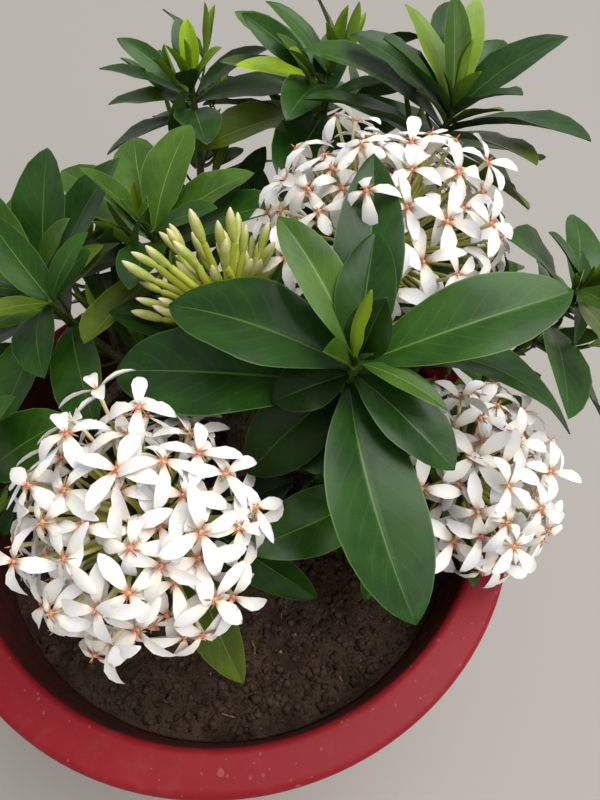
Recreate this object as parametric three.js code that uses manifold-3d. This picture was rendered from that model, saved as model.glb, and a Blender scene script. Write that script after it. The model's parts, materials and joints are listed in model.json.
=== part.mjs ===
// A potted ixora: an evergreen shrub with white flower heads, in a red plastic pot.
// Sizes are in millimetres and angles in degrees. The origin is the middle of the pot's
// flat underside, +Z is up, and the front of the plant faces -Y.
import * as THREE from "three";
import { mergeVertices } from "three/addons/utils/BufferGeometryUtils.js";
import Module from "manifold-3d";

const wasm = await Module();
wasm.setup();

const GAP = 0.3; // clearance where one solid meets the next
const CLEARANCE = 0.6; // least distance from a leaf or flower to another node's solid
const OWN_CLEARANCE = 0.4; // least distance between two blades or two flowers of one node
const MERGE = 0.001; // corners closer than this are one corner
const GOLDEN_TURN = 137.5;

const POT = {
  height: 225,
  rimRadius: 130,
  mouthRadius: 114,
  footRadius: 88,
  wall: 3,
  skirtDepth: 30,
  edgeRadius: 3,
  drainHoles: 5,
  drainHoleRadius: 6,
  drainRing: 52,
  segments: 40,
};

const SOIL = { level: 197, flatRadius: 50, edgeDrop: 4 };

const TRUNK = {
  foot: [6, 12],
  top: [11, 16, 240],
  footRadius: 9,
  topRadius: 7.5,
  flare: 0.65,
  flareHeight: 14,
  lobes: 5,
  sides: 15,
  steps: 5,
};

const LIMB = { rootRadius: 4.4, tipRadius: 2.3, branchShare: 0.75, sides: 6, steps: 5 };
const STEM = { tipRadius: 1.4, sides: 5, steps: 3 };

// A side twig: where it leaves its shoot, how long and open it is, and the leaf pairs it carries.
const TWIG = {
  radius: 1.2,
  tipRadius: 0.8,
  sides: 3,
  steps: 2,
  firstShare: 0.2,
  nextShare: 0.3,
  shareRange: 0.1,
  open: 52,
  arch: 25,
  turnRange: 30,
  length: 30,
  lengthRange: 0.3,
  pairs: 2,
  firstRank: 1,
  leafShare: 0.8,
};

// A leaf's outline: at each share of its length, the share of its half width.
const LEAF_OUTLINE = [
  [0.3, 0.84],
  [0.66, 0.96],
];
const LEAF = {
  rootOffset: 0.7,
  rootHalfWidth: 0.8,
  thicknessShare: 0.014,
  widthShare: 0.42,
  fold: 14,
  youngOpen: 45,
  youngFold: 0.8,
  bend: 26,
  fullBendOpen: 60,
};

// Leaf pairs, counted from the tip: each is older, longer and more open than the one above.
const PAIR = {
  firstOpen: 10,
  fullOpen: 102,
  openingRate: 0.62,
  youngShare: 0.42,
  growth: 0.2,
  youngWidthShare: 0.28,
  widthGrowth: 0.05,
  spacing: 1.4,
  raise: 2,
  jitter: 9,
};

const BLOSSOM_RANK = 2; // a shoot in blossom has no younger leaf pairs than this
const STALK = 13; // length of the bare stalk between a shoot's leaves and its blossom
const SPACE = 100; // the foliage of a shoot stays within this distance of its tip

const FLOWER = {
  petal: 12.5,
  notchShare: 0.27,
  throatRadius: 1.2,
  throatDepth: 1.2,
  tubeRadius: 0.9,
  starShare: 0.6,
};
const HEAD = { coreShare: 0.2, rootShare: 0.155 };
const BUD = {
  tubeRadius: 0.9,
  headRadius: 2.1,
  headFrom: 0.66,
  tipRadius: 0.7,
  knobRadius: 5.5,
  rootShare: 0.78,
  leastReach: 0.72,
  reachRange: 0.34,
  clearShare: 0.4,
};

// How much nearer or farther a flower stands where its own depth has no room, in shares of the spread.
const FLOWER_DEPTHS = [0, -0.12, 0.1, -0.24];

// Other attitudes that a leaf takes where its first one has no room: added turn, added opening.
const ATTITUDES = [
  [0, 0],
  [14, 0],
  [-14, 0],
  [0, -16],
  [0, 12],
  [18, -18],
  [-18, -18],
];

// The rosette at the front of the plant, leaf by leaf: turn, opening, length, width, drop below the tip.
const CENTRE_LEAVES = [
  [-84, 95, 82, 34, 18],
  [148, 100, 69, 34, 9],
  [162, 115, 88, 38, 22],
  [115, 70, 54, 17, 4],
  [78, 70, 76, 24, 8],
  [76, 60, 42, 20, 3],
  [7, 71, 74, 28, 6],
  [-21, 82, 86, 27, 20],
  [-46, 78, 32, 9, 4],
  [-54, 90, 46, 22, 12],
  [80, 10, 34, 9, 0],
  [57, 26, 26, 8, 1],
  [-175, 42, 18, 8, 2],
  [-168, 104, 28, 18, 12],
  [-144, 112, 44, 26, 26],
];

// The leaves under the front flower head, and those of the low shoot in front, in the same way.
const FRONT_LEAVES = [
  [-67, 74, 64, 24, 32],
  [-43, 106, 62, 21, 35],
  [110, 100, 46, 18, 17],
  [12, 100, 48, 18, 21],
  [192, 95, 48, 18, 21],
];
const LOW_FRONT_LEAVES = [
  [185, 95, 62, 26, 5],
  [-85, 110, 44, 20, 12],
  [80, 95, 46, 20, 12],
  [100, 30, 24, 10, 0],
  [-80, 30, 26, 10, 0],
];

// The leaves that show above and behind the flower heads, in the same way.
const BUDS_LEAVES = [
  [36, 45, 50, 22, 18],
  [176, 62, 62, 26, 22],
];
const BACK_LEAVES = [
  [130, 76, 62, 25, 8],
  [93, 75, 58, 25, 6],
  [57, 78, 54, 23, 6],
  [12, 72, 54, 23, 9],
  [170, 92, 52, 24, 18],
  [-5, 100, 56, 24, 20],
];
const LEFT_LEAVES = [
  [66, 58, 64, 28, 8],
  [108, 58, 60, 24, 6],
  [40, 58, 70, 27, 12],
  [32, 78, 34, 13, 5],
  [165, 62, 34, 12, 6],
  [25, 92, 50, 22, 13],
  [-125, 100, 58, 26, 16],
  [180, 68, 48, 22, 16],
];
const FAR_BACK_LEAVES = [
  [160, 79, 76, 32, 16],
  [146, 72, 58, 25, 8],
  [83, 66, 56, 25, 5],
  [118, 60, 50, 15, 3],
  [71, 54, 50, 15, 3],
  [48, 55, 52, 21, 9],
  [29, 64, 52, 21, 13],
  [-169, 55, 28, 11, 12],
  [-93, 24, 28, 10, 2],
  [-70, 50, 34, 13, 12],
  [-79, 72, 64, 24, 20],
  [6, 110, 66, 29, 24],
];
const REAR_LEAVES = [
  [-170, 112, 74, 33, 26],
  [134, 76, 64, 27, 12],
  [160, 85, 58, 25, 18],
  [165, 80, 48, 14, 6],
];
const REAR_LEFT_LEAVES = [
  [80, 29, 30, 11, 0],
  [-161, 21, 28, 10, 1],
  [-13, 27, 28, 10, 1],
  [180, 88, 44, 20, 10],
  [0, 88, 56, 24, 12],
  [-165, 104, 52, 25, 22],
];

// Every shoot: the limb it leaves and how far along, its tip and the way the tip points, the share of
// its length that is bare limb, and what it carries.
const SHOOTS = [
  { name: "centre", from: "trunk", at: 0.97, tip: [45, -22, 325], axis: [0.06, -0.12, 1], bare: 0.5,
    leaves: CENTRE_LEAVES },
  { name: "front", from: "trunk", at: 0.55, tip: [-30, -46, 276], axis: [-0.32, -0.2, 0.92], bare: 0.5,
    leaves: FRONT_LEAVES, blossom: "open", count: 30, spread: 41, cap: 92 },
  { name: "buds", from: "trunk", at: 0.99, tip: [10, 20, 297], axis: [-0.5, 0.4, 0.77], bare: 0.45,
    pairs: 2, leaf: 62, start: 20, twigs: 0, blossom: "bud", count: 24, spread: 49, cap: 62,
    leaves: BUDS_LEAVES },
  { name: "right", from: "trunk", at: 0.5, tip: [95, -31, 246], axis: [0.22, -0.2, 0.92], bare: 0.6,
    pairs: 2, leaf: 60, start: 60, twigs: 0, blossom: "open", count: 26, spread: 39, cap: 88 },
  { name: "back_right", from: "trunk", at: 0.85, tip: [71, 50, 301], axis: [0.12, 0.1, 1], bare: 0.5,
    pairs: 3, leaf: 68, start: 30, twigs: 1, blossom: "open", count: 33, spread: 53, cap: 88 },
  { name: "back", from: "trunk", at: 0.9, tip: [-22, 82, 298], axis: [-0.1, -0.1, 1], bare: 0.5,
    pairs: 6, leaf: 64, start: 75, twigs: 1, leaves: BACK_LEAVES },
  { name: "left", from: "trunk", at: 0.75, tip: [-72, 62, 288], axis: [-0.25, -0.1, 1], bare: 0.5,
    pairs: 5, leaf: 66, start: 100, twigs: 2, leaves: LEFT_LEAVES },
  { name: "far_back", from: "back_right", at: 0.4, tip: [121, 114, 328], axis: [0.05, -0.15, 1], bare: 0.4,
    pairs: 6, leaf: 72, start: 10, twigs: 1, leaves: FAR_BACK_LEAVES },
  { name: "rear", from: "back", at: 0.34, tip: [73, 160, 322], axis: [0, -0.15, 1], bare: 0.45,
    pairs: 6, leaf: 72, start: 50, twigs: 2, leaves: REAR_LEAVES },
  { name: "rear_left", from: "back", at: 0.38, tip: [4, 182, 308], axis: [-0.05, -0.1, 1], bare: 0.5,
    pairs: 6, leaf: 58, start: 5, twigs: 1, leaves: REAR_LEFT_LEAVES },
  { name: "far_right", from: "right", at: 0.42, tip: [156, 22, 298], axis: [0.2, -0.1, 1], bare: 0.4,
    pairs: 6, leaf: 62, start: 70, twigs: 2 },
  { name: "low_front", from: "front", at: 0.42, tip: [58, -34, 252], axis: [0.3, -0.15, 1], bare: 0.5,
    leaves: LOW_FRONT_LEAVES },
  { name: "low_left", from: "left", at: 0.42, tip: [-112, -6, 262], axis: [-0.4, -0.15, 0.9], bare: 0.5,
    pairs: 5, leaf: 60, start: 20, twigs: 1 },
  { name: "rear_right", from: "far_back", at: 0.35, tip: [112, 132, 262], axis: [0.4, 0.5, 0.75], bare: 0.5,
    pairs: 2, leaf: 62, start: 60, twigs: 1, blossom: "open", count: 17, spread: 38, cap: 86 },
  { name: "back_left", from: "left", at: 0.45, tip: [-66, 124, 264], axis: [-0.25, 0.35, 1], bare: 0.5,
    pairs: 5, leaf: 64, start: 80, twigs: 1 },
  { name: "low_right", from: "right", at: 0.45, tip: [132, 70, 262], axis: [0.45, 0.2, 0.9], bare: 0.5,
    pairs: 5, leaf: 60, start: 30, twigs: 1 },
];

const COLOURS = {
  pot: { color: 0xa32d3c, roughness: 0.45, metalness: 0 },
  soil: { color: 0x3b2b22, roughness: 0.95, metalness: 0 },
  bark: { color: 0x6f6250, roughness: 0.85, metalness: 0 },
  foliage: { color: 0x2f6a35, roughness: 0.4, metalness: 0 },
  flower: { color: 0xf1efe9, roughness: 0.6, metalness: 0 },
  bud: { color: 0xbcc46a, roughness: 0.6, metalness: 0 },
};

const radians = THREE.MathUtils.degToRad;
const vector = (list) => new THREE.Vector3(...list);

// Seeded random numbers from 0 to 1, so the plant grows the same each time.
function randomFrom(seed) {
  let state = seed >>> 0;
  return () => {
    state = (state + 0x6d2b79f5) >>> 0;
    let mixed = Math.imul(state ^ (state >>> 15), state | 1);
    mixed ^= mixed + Math.imul(mixed ^ (mixed >>> 7), mixed | 61);
    return ((mixed ^ (mixed >>> 14)) >>> 0) / 4294967296;
  };
}

// A closed three.js geometry as a solid that can be joined and cut.
function solidOf(geometry) {
  const bare = geometry.clone();
  bare.deleteAttribute("normal");
  bare.deleteAttribute("uv");
  const merged = mergeVertices(bare, MERGE);
  const index = merged.index.array;
  const corners = [];
  for (let i = 0; i < index.length; i += 3) {
    const [a, b, c] = index.slice(i, i + 3);
    if (a !== b && b !== c && c !== a) corners.push(a, b, c);
  }
  return new wasm.Manifold(
    new wasm.Mesh({
      numProp: 3,
      vertProperties: new Float32Array(merged.attributes.position.array),
      triVerts: new Uint32Array(corners),
    }),
  );
}

// A solid as a three.js geometry.
function geometryOf(solid) {
  const mesh = solid.getMesh();
  const geometry = new THREE.BufferGeometry();
  geometry.setAttribute("position", new THREE.BufferAttribute(new Float32Array(mesh.vertProperties), 3));
  geometry.setIndex(new THREE.BufferAttribute(new Uint32Array(mesh.triVerts), 1));
  geometry.computeVertexNormals();
  return geometry;
}

// A solid from its corners and the triangles between them.
function solidFrom(corners, triangles) {
  const geometry = new THREE.BufferGeometry();
  const positions = corners.flatMap((corner) => corner.toArray());
  geometry.setAttribute("position", new THREE.Float32BufferAttribute(positions, 3));
  geometry.setIndex(triangles.flat());
  return solidOf(geometry);
}

// The largest body of a solid: a loose scrap is dropped.
function largestBody(solid) {
  const bodies = solid.decompose();
  return bodies.reduce((best, body) => (body.volume() > best.volume() ? body : best));
}

// A solid from rings of corners, closed by a fan at each end.
function loft(rings) {
  const sides = rings[0].length;
  const corners = rings.flat();
  const triangles = [];
  for (let ring = 0; ring + 1 < rings.length; ring++) {
    for (let side = 0; side < sides; side++) {
      const a = ring * sides + side;
      const b = ring * sides + ((side + 1) % sides);
      triangles.push([a, b, b + sides], [a, b + sides, a + sides]);
    }
  }
  const last = (rings.length - 1) * sides;
  for (let side = 1; side + 1 < sides; side++) {
    triangles.push([0, side + 1, side], [last, last + side, last + side + 1]);
  }
  return solidFrom(corners, triangles);
}

// A round tapering solid along a stretch of a curve. radiusAt takes the share of the stretch and the angle.
function taper(curve, from, to, radiusAt, sides, steps) {
  const rings = [];
  let across = new THREE.Vector3(1, 0, 0);
  for (let step = 0; step <= steps; step++) {
    const share = step / steps;
    const at = THREE.MathUtils.lerp(from, to, share);
    const middle = curve.getPoint(at);
    const along = curve.getTangent(Math.min(1, at));
    across = across.clone().addScaledVector(along, -across.dot(along)).normalize();
    const third = along.clone().cross(across);
    const ring = [];
    for (let side = 0; side < sides; side++) {
      const angle = (side / sides) * 2 * Math.PI;
      const radius = radiusAt(share, angle);
      ring.push(
        middle
          .clone()
          .addScaledVector(across, radius * Math.cos(angle))
          .addScaledVector(third, radius * Math.sin(angle)),
      );
    }
    rings.push(ring);
  }
  return loft(rings);
}

// Points round an arc of a lathe's profile.
function profileArc(radius, height, size, start, end, steps) {
  const points = [];
  for (let step = 0; step <= steps; step++) {
    const angle = radians(THREE.MathUtils.lerp(start, end, step / steps));
    points.push(new THREE.Vector2(radius + size * Math.cos(angle), height + size * Math.sin(angle)));
  }
  return points;
}

// A lathe turned about the upright axis.
function turned(profile, segments) {
  return new THREE.LatheGeometry(profile, segments).rotateX(Math.PI / 2);
}

// The pot's inner wall: its radius at a height.
function innerRadius(height) {
  const floorRadius = POT.footRadius - POT.wall;
  return THREE.MathUtils.mapLinear(height, POT.wall, POT.height, floorRadius, POT.mouthRadius);
}

// The pot: a tapering wall, a wide flat lip and a skirt turned down from it, with drain holes.
function potSolid() {
  const { height, rimRadius, footRadius, wall, skirtDepth, edgeRadius } = POT;
  const lipUnder = height - wall;
  const skirtFoot = height - skirtDepth;
  const profile = [
    new THREE.Vector2(0, 0),
    new THREE.Vector2(footRadius - wall, 0),
    new THREE.Vector2(footRadius, wall),
    new THREE.Vector2(innerRadius(skirtFoot) + wall, skirtFoot),
    new THREE.Vector2(innerRadius(lipUnder) + wall, lipUnder),
    new THREE.Vector2(rimRadius - wall - 1, lipUnder),
    new THREE.Vector2(rimRadius - wall - 2, skirtFoot),
    new THREE.Vector2(rimRadius - 2, skirtFoot),
    ...profileArc(rimRadius - edgeRadius, height - edgeRadius, edgeRadius, 0, 90, 2),
    new THREE.Vector2(innerRadius(height) + 2, height),
    new THREE.Vector2(innerRadius(height - 2), height - 2),
    new THREE.Vector2(innerRadius(wall), wall),
    new THREE.Vector2(0, wall),
  ];
  let pot = solidOf(turned(profile, POT.segments));
  for (let hole = 0; hole < POT.drainHoles; hole++) {
    const turn = (hole / POT.drainHoles) * 2 * Math.PI;
    const drill = new THREE.CylinderGeometry(POT.drainHoleRadius, POT.drainHoleRadius, 4 * wall, 12)
      .rotateX(Math.PI / 2)
      .translate(POT.drainRing * Math.cos(turn), POT.drainRing * Math.sin(turn), 0);
    pot = pot.subtract(solidOf(drill));
  }
  return pot;
}

// The soil that fills the pot, flat round the trunk and a little lower at the wall.
function soilSolid() {
  const floor = POT.wall + GAP;
  const edge = SOIL.level - SOIL.edgeDrop;
  const profile = [
    new THREE.Vector2(0, floor),
    new THREE.Vector2(innerRadius(floor) - GAP, floor),
    new THREE.Vector2(innerRadius(edge) - GAP, edge),
    new THREE.Vector2(SOIL.flatRadius, SOIL.level),
    new THREE.Vector2(0, SOIL.level),
  ];
  return solidOf(turned(profile, POT.segments));
}

// The trunk's middle line, from the soil to its fork.
function trunkCurve() {
  const [x, y] = TRUNK.foot;
  const top = vector(TRUNK.top);
  const foot = new THREE.Vector3(x, y, SOIL.level + GAP);
  const elbow = new THREE.Vector3(x, y, THREE.MathUtils.lerp(foot.z, top.z, 0.5));
  return new THREE.QuadraticBezierCurve3(foot, elbow, top);
}

// The trunk's radius: it tapers, and swells into root lobes at the soil. extra fattens it all over.
function trunkRadius(share, angle, extra = 0) {
  const height = share * (TRUNK.top[2] - SOIL.level);
  const swell = TRUNK.flare * Math.max(0, 1 - height / TRUNK.flareHeight) ** 2;
  const lobe = 1 + 0.3 * Math.cos(TRUNK.lobes * angle);
  return THREE.MathUtils.lerp(TRUNK.footRadius, TRUNK.topRadius, share) * (1 + swell * lobe) + extra;
}

// The curve of a whole shoot, from its parent limb to its tip, with the tip pointing along its axis.
function shootCurve(shoot, curves) {
  const start = curves.get(shoot.from).getPoint(shoot.at);
  const tip = vector(shoot.tip);
  const axis = vector(shoot.axis).normalize();
  const elbow = tip.clone().addScaledVector(axis, -0.45 * start.distanceTo(tip));
  return new THREE.QuadraticBezierCurve3(start, elbow, tip);
}

// Three directions at a point of a shoot: its axis, and two across it, the first as near +X as it can be.
function framesAt(curve, share) {
  const axis = curve.getTangent(share);
  const east = new THREE.Vector3(1, 0, 0).addScaledVector(axis, -axis.x).normalize();
  return { origin: curve.getPoint(share), axis, east, north: axis.clone().cross(east) };
}

// The direction that leaves a frame's axis by an opening angle, at a turn round it.
function outward(frame, turn, open) {
  const side = frame.east
    .clone()
    .multiplyScalar(Math.cos(radians(turn)))
    .addScaledVector(frame.north, Math.sin(radians(turn)));
  return frame.axis
    .clone()
    .multiplyScalar(Math.cos(radians(open)))
    .addScaledVector(side, Math.sin(radians(open)));
}

// A leaf: a thin three-sided blade with its keel at the midrib, arching back. Its blade alone is the
// same without the root.
function leafSolids(frame, turn, open, length, width) {
  const along = outward(frame, turn, open);
  const up = outward(frame, turn, open - 90);
  const side = up.clone().cross(along);
  const bend = radians(LEAF.bend * Math.min(1, open / LEAF.fullBendOpen));
  const fold = radians(LEAF.fold + LEAF.youngFold * Math.max(0, LEAF.youngOpen - open));
  const root = frame.origin.clone().addScaledVector(outward(frame, turn, 90), LEAF.rootOffset);
  const ringAt = (share, halfWidth, keel) => {
    const slope = bend / 2 - bend * share;
    const middle = root
      .clone()
      .addScaledVector(along, (length * (Math.sin(bend / 2) - Math.sin(slope))) / bend)
      .addScaledVector(up, (length * (Math.cos(slope) - Math.cos(bend / 2))) / bend);
    const normal = up.clone().multiplyScalar(Math.cos(slope)).addScaledVector(along, -Math.sin(slope));
    const edge = (sign) =>
      middle
        .clone()
        .addScaledVector(side, sign * halfWidth * Math.cos(fold))
        .addScaledVector(normal, halfWidth * Math.sin(fold));
    return [edge(1), edge(-1), middle.clone().addScaledVector(normal, -keel)];
  };
  const depth = LEAF.thicknessShare * length;
  const rings = [ringAt(0, LEAF.rootHalfWidth, LEAF.rootHalfWidth)];
  for (const [share, widthShare] of LEAF_OUTLINE) {
    rings.push(ringAt(share, (widthShare * width) / 2, depth));
  }
  rings.push(ringAt(1, 0, 0));
  return { whole: loft(rings), blade: loft(rings.slice(1)) };
}

// A leaf's size and opening by its pair's rank, 0 at the tip.
function pairShape(rank, leafLength) {
  const open = PAIR.firstOpen + (PAIR.fullOpen - PAIR.firstOpen) * (1 - Math.exp(-PAIR.openingRate * rank));
  const length = leafLength * Math.min(1, PAIR.youngShare + PAIR.growth * rank);
  const widthShare = Math.min(LEAF.widthShare, PAIR.youngWidthShare + PAIR.widthGrowth * rank);
  return { open, length, width: length * widthShare, drop: PAIR.spacing * rank * (rank + 1) };
}

// The leaves of a shoot or twig by the rule of its kind: crossed pairs down from the tip.
function pairedLeaves(pairs, firstRank, leafLength, start, lowered, random) {
  const leaves = [];
  for (let pair = 0; pair < pairs; pair++) {
    const shape = pairShape(pair + firstRank, leafLength);
    for (const half of [0, 180]) {
      const shift = () => (2 * random() - 1) * PAIR.jitter;
      const turn = start + 90 * pair + half + shift();
      const drop = shape.drop - PAIR.raise * firstRank + lowered;
      leaves.push([turn, shape.open + shift(), shape.length, shape.width, drop]);
    }
  }
  return leaves;
}

// An open flower: a tube from its root to a star of four petals.
function flowerSolid(root, centre, facing, roll) {
  const across = new THREE.Vector3(0, 0, 1).cross(facing).normalize();
  const third = facing.clone().cross(across);
  const corner = (middle, angle, radius) =>
    middle
      .clone()
      .addScaledVector(across, radius * Math.cos(angle))
      .addScaledVector(third, radius * Math.sin(angle));
  const throat = centre.clone().addScaledVector(facing, -FLOWER.throatDepth);
  const corners = [centre];
  for (let point = 0; point < 8; point++) {
    const radius = FLOWER.petal * (point % 2 ? FLOWER.notchShare : 1);
    corners.push(corner(centre, roll + (point * Math.PI) / 4, radius));
  }
  for (const [middle, radius] of [[throat, FLOWER.throatRadius], [root, FLOWER.tubeRadius]]) {
    for (let point = 0; point < 4; point++) {
      corners.push(corner(middle, roll + ((2 * point + 1) * Math.PI) / 4, radius));
    }
  }
  const triangles = [[13, 15, 14], [13, 16, 15]];
  for (let point = 0; point < 4; point++) {
    const tip = 1 + 2 * point;
    const notch = tip + 1;
    const nextTip = 1 + ((2 * point + 2) % 8);
    const here = 9 + point;
    const next = 9 + ((point + 1) % 4);
    triangles.push([0, tip, notch], [0, notch, nextTip]);
    triangles.push([tip, here, notch], [notch, here, nextTip]);
    triangles.push([here, next, nextTip]);
    triangles.push([here, here + 4, next + 4], [here, next + 4, next]);
  }
  return solidFrom(corners, triangles);
}

// A bud: a slim tube that ends in a pointed club.
function budSolid(root, tip) {
  const curve = new THREE.LineCurve3(root, tip);
  const radii = [BUD.tubeRadius, BUD.tubeRadius, BUD.headRadius, BUD.tipRadius];
  const shares = [0, BUD.headFrom, (BUD.headFrom + 1) / 2, 1];
  const rings = shares.map((share, index) => {
    const along = curve.getTangent(share);
    const across = new THREE.Vector3(1, 0, 0).addScaledVector(along, -along.x).normalize();
    const third = along.clone().cross(across);
    return [0, 1, 2, 3].map((corner) =>
      curve
        .getPoint(share)
        .addScaledVector(across, radii[index] * Math.cos((corner * Math.PI) / 2))
        .addScaledVector(third, radii[index] * Math.sin((corner * Math.PI) / 2)),
    );
  });
  return loft(rings);
}

// Directions spread evenly over a cap round an axis, by the golden turn.
function capDirections(frame, count, cap) {
  return Array.from({ length: count }, (_, index) =>
    outward(frame, index * GOLDEN_TURN, cap * Math.sqrt((index + 0.5) / count)),
  );
}

// The solids grown so far, each with the name of its node, for the room that the next ones have.
const grown = [];

// The blade is the part that also stays clear of the blades of its own node.
function keep(node, solid, blade) {
  grown.push({ node, solid, blade, box: solid.boundingBox() });
}

// Whether two bounding boxes come within the clearance of each other.
function boxesMeet(a, b) {
  const near = (axis) => a.min[axis] - CLEARANCE < b.max[axis] && b.min[axis] - CLEARANCE < a.max[axis];
  return [0, 1, 2].every(near);
}

// Whether a solid stays clear of every other node, and its blade of the blades in its own node.
function hasRoom(node, solid, blade) {
  const box = solid.boundingBox();
  return grown.every((other) => {
    if (!boxesMeet(box, other.box)) return true;
    if (other.node !== node) return other.solid.minGap(solid, CLEARANCE) > 0.99 * CLEARANCE;
    if (!blade || !other.blade) return true;
    return other.blade.minGap(blade, OWN_CLEARANCE) > 0.99 * OWN_CLEARANCE;
  });
}

// A small knob that roots are sunk in.
function knob(middle, radius) {
  return solidOf(new THREE.IcosahedronGeometry(radius, 0).translate(middle.x, middle.y, middle.z));
}

// A bough: the bare part of a shoot. extra fattens it, to cut a gap into what it meets.
function boughSolid(shoot, curve, extra = 0) {
  const share = shoot.from === "trunk" ? 1 : LIMB.branchShare;
  const end = shoot.bare + extra / curve.getLength();
  const radiusAt = (along) => THREE.MathUtils.lerp(LIMB.rootRadius * share, LIMB.tipRadius, along) + extra;
  return taper(curve, 0, end, radiusAt, LIMB.sides, LIMB.steps);
}

// The share of a shoot's curve where its leafy stem ends: its tip, or the foot of its blossom's stalk.
function stemEnd(shoot, curve) {
  return shoot.blossom ? 1 - STALK / curve.getLength() : 1;
}

// The leafy part of a shoot's own stem.
function stemSolid(shoot, curve) {
  const start = shoot.bare + GAP / curve.getLength();
  const radiusAt = (along) => THREE.MathUtils.lerp(LIMB.tipRadius, STEM.tipRadius, along);
  return taper(curve, start, stemEnd(shoot, curve), radiusAt, STEM.sides, STEM.steps);
}

// The stalk that carries a shoot's blossom.
function stalkSolid(shoot, curve) {
  const start = stemEnd(shoot, curve) + 1.5 * GAP / curve.getLength();
  return taper(curve, start, 1, () => STEM.tipRadius, STEM.sides, 1);
}

// Whether a solid stays within the space of its shoot.
function inSpace(solid, shoot) {
  const { min, max } = solid.boundingBox();
  const farthest = shoot.tip.map((at, axis) => Math.max(at - min[axis], max[axis] - at));
  return Math.hypot(...farthest) < SPACE;
}

// Grows leaves on a stem, each in the first attitude that has room, and skips those with none.
function growLeaves(node, shoot, curve, leaves) {
  const length = curve.getLength();
  for (const [turn, open, leafLength, width, drop] of leaves) {
    const frame = framesAt(curve, Math.max(0, 1 - drop / length));
    for (const [moreTurn, moreOpen] of ATTITUDES) {
      const { whole, blade } = leafSolids(frame, turn + moreTurn, open + moreOpen, leafLength, width);
      if (!inSpace(whole, shoot) || !hasRoom(node, whole, blade)) continue;
      keep(node, whole, blade);
      break;
    }
  }
}

// Grows side twigs on a shoot, each with crossed pairs of smaller leaves.
function growTwigs(node, shoot, curve, random) {
  for (let twig = 0; twig < shoot.twigs; twig++) {
    const along = TWIG.firstShare + TWIG.nextShare * twig + TWIG.shareRange * random();
    const frame = framesAt(curve, THREE.MathUtils.lerp(shoot.bare, 1, along));
    const turn = shoot.start + 45 + twig * GOLDEN_TURN + TWIG.turnRange * random();
    const reach = TWIG.length * (1 + TWIG.lengthRange * (random() - 0.5));
    const tip = frame.origin.clone().addScaledVector(outward(frame, turn, TWIG.open), reach);
    const lean = outward(frame, turn, TWIG.open + TWIG.arch);
    const elbow = frame.origin.clone().addScaledVector(lean, reach / 2);
    const path = new THREE.QuadraticBezierCurve3(frame.origin, elbow, tip);
    const radiusAt = (share) => THREE.MathUtils.lerp(TWIG.radius, TWIG.tipRadius, share);
    const wood = taper(path, 0, 1, radiusAt, TWIG.sides, TWIG.steps);
    if (!inSpace(wood, shoot) || !hasRoom(node, wood)) continue;
    keep(node, wood);
    const leafLength = shoot.leaf * TWIG.leafShare;
    const leaves = pairedLeaves(TWIG.pairs, TWIG.firstRank, leafLength, turn + 90, 0, random);
    growLeaves(node, shoot, path, leaves);
  }
}

// Grows a flower head: open flowers that stand out of a small core at the tip of the stem.
function growFlowers(node, shoot, curve, random) {
  const frame = framesAt(curve, 1);
  const hub = frame.origin;
  keep(node, knob(hub, shoot.spread * HEAD.coreShare));
  for (const direction of capDirections(frame, shoot.count, shoot.cap)) {
    const root = hub.clone().addScaledVector(direction, shoot.spread * HEAD.rootShare);
    const roll = random() * Math.PI;
    for (const depth of FLOWER_DEPTHS) {
      const centre = hub.clone().addScaledVector(direction, shoot.spread * (1 + depth));
      const whole = flowerSolid(root, centre, direction, roll);
      const star = flowerSolid(root.clone().lerp(centre, FLOWER.starShare), centre, direction, roll);
      if (!hasRoom(node, whole, star)) continue;
      keep(node, whole, star);
      break;
    }
  }
}

// Grows a head of buds from a knob at the tip of the stem.
function growBuds(node, shoot, curve, random) {
  const frame = framesAt(curve, 1);
  const hub = frame.origin;
  for (const direction of capDirections(frame, shoot.count, shoot.cap)) {
    const reach = shoot.spread * (BUD.leastReach + BUD.reachRange * random());
    const root = hub.clone().addScaledVector(direction, BUD.knobRadius * BUD.rootShare);
    const tip = hub.clone().addScaledVector(direction, reach);
    const whole = budSolid(root, tip);
    const head = budSolid(root.clone().lerp(tip, BUD.clearShare), tip);
    if (hasRoom(node, whole, head)) keep(node, whole, head);
  }
  keep(node, knob(hub, BUD.knobRadius));
}

// The trunk and the boughs. Each bough is cut clear of the trunk and of the boughs before it.
function growLimbs(curves) {
  const trunk = curves.get("trunk");
  keep("trunk", taper(trunk, 0, 1, trunkRadius, TRUNK.sides, TRUNK.steps));
  const fatRadius = (along, angle) => trunkRadius(along, angle, GAP);
  const cutters = [taper(trunk, 0, 1 + GAP / trunk.getLength(), fatRadius, TRUNK.sides, TRUNK.steps)];
  for (const shoot of SHOOTS) {
    const curve = curves.get(shoot.name);
    const bough = cutters.reduce((left, cutter) => left.subtract(cutter), boughSolid(shoot, curve));
    keep("bough_" + shoot.name, largestBody(solidOf(geometryOf(largestBody(bough)))));
    cutters.push(boughSolid(shoot, curve, GAP));
  }
}

// Grows what a shoot has at its tip: open flowers, buds or nothing.
function growBlossom({ shoot, curve, blossom, random }) {
  if (shoot.blossom === "open") growFlowers(blossom, shoot, curve, random);
  if (shoot.blossom === "bud") growBuds(blossom, shoot, curve, random);
}

// Grows a shoot's leaf pairs and its side twigs, below its blossom if it has any.
function growPairs({ shoot, curve, foliage, random }) {
  const firstRank = shoot.blossom ? BLOSSOM_RANK : 0;
  const lowered = shoot.blossom ? STALK : 0;
  const leaves = pairedLeaves(shoot.pairs, firstRank, shoot.leaf, shoot.start, lowered, random);
  growLeaves(foliage, shoot, curve, leaves);
  growTwigs(foliage, shoot, curve, random);
}

const BLOSSOM_NODE = { open: "flower_head_", bud: "bud_head_" };

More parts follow.
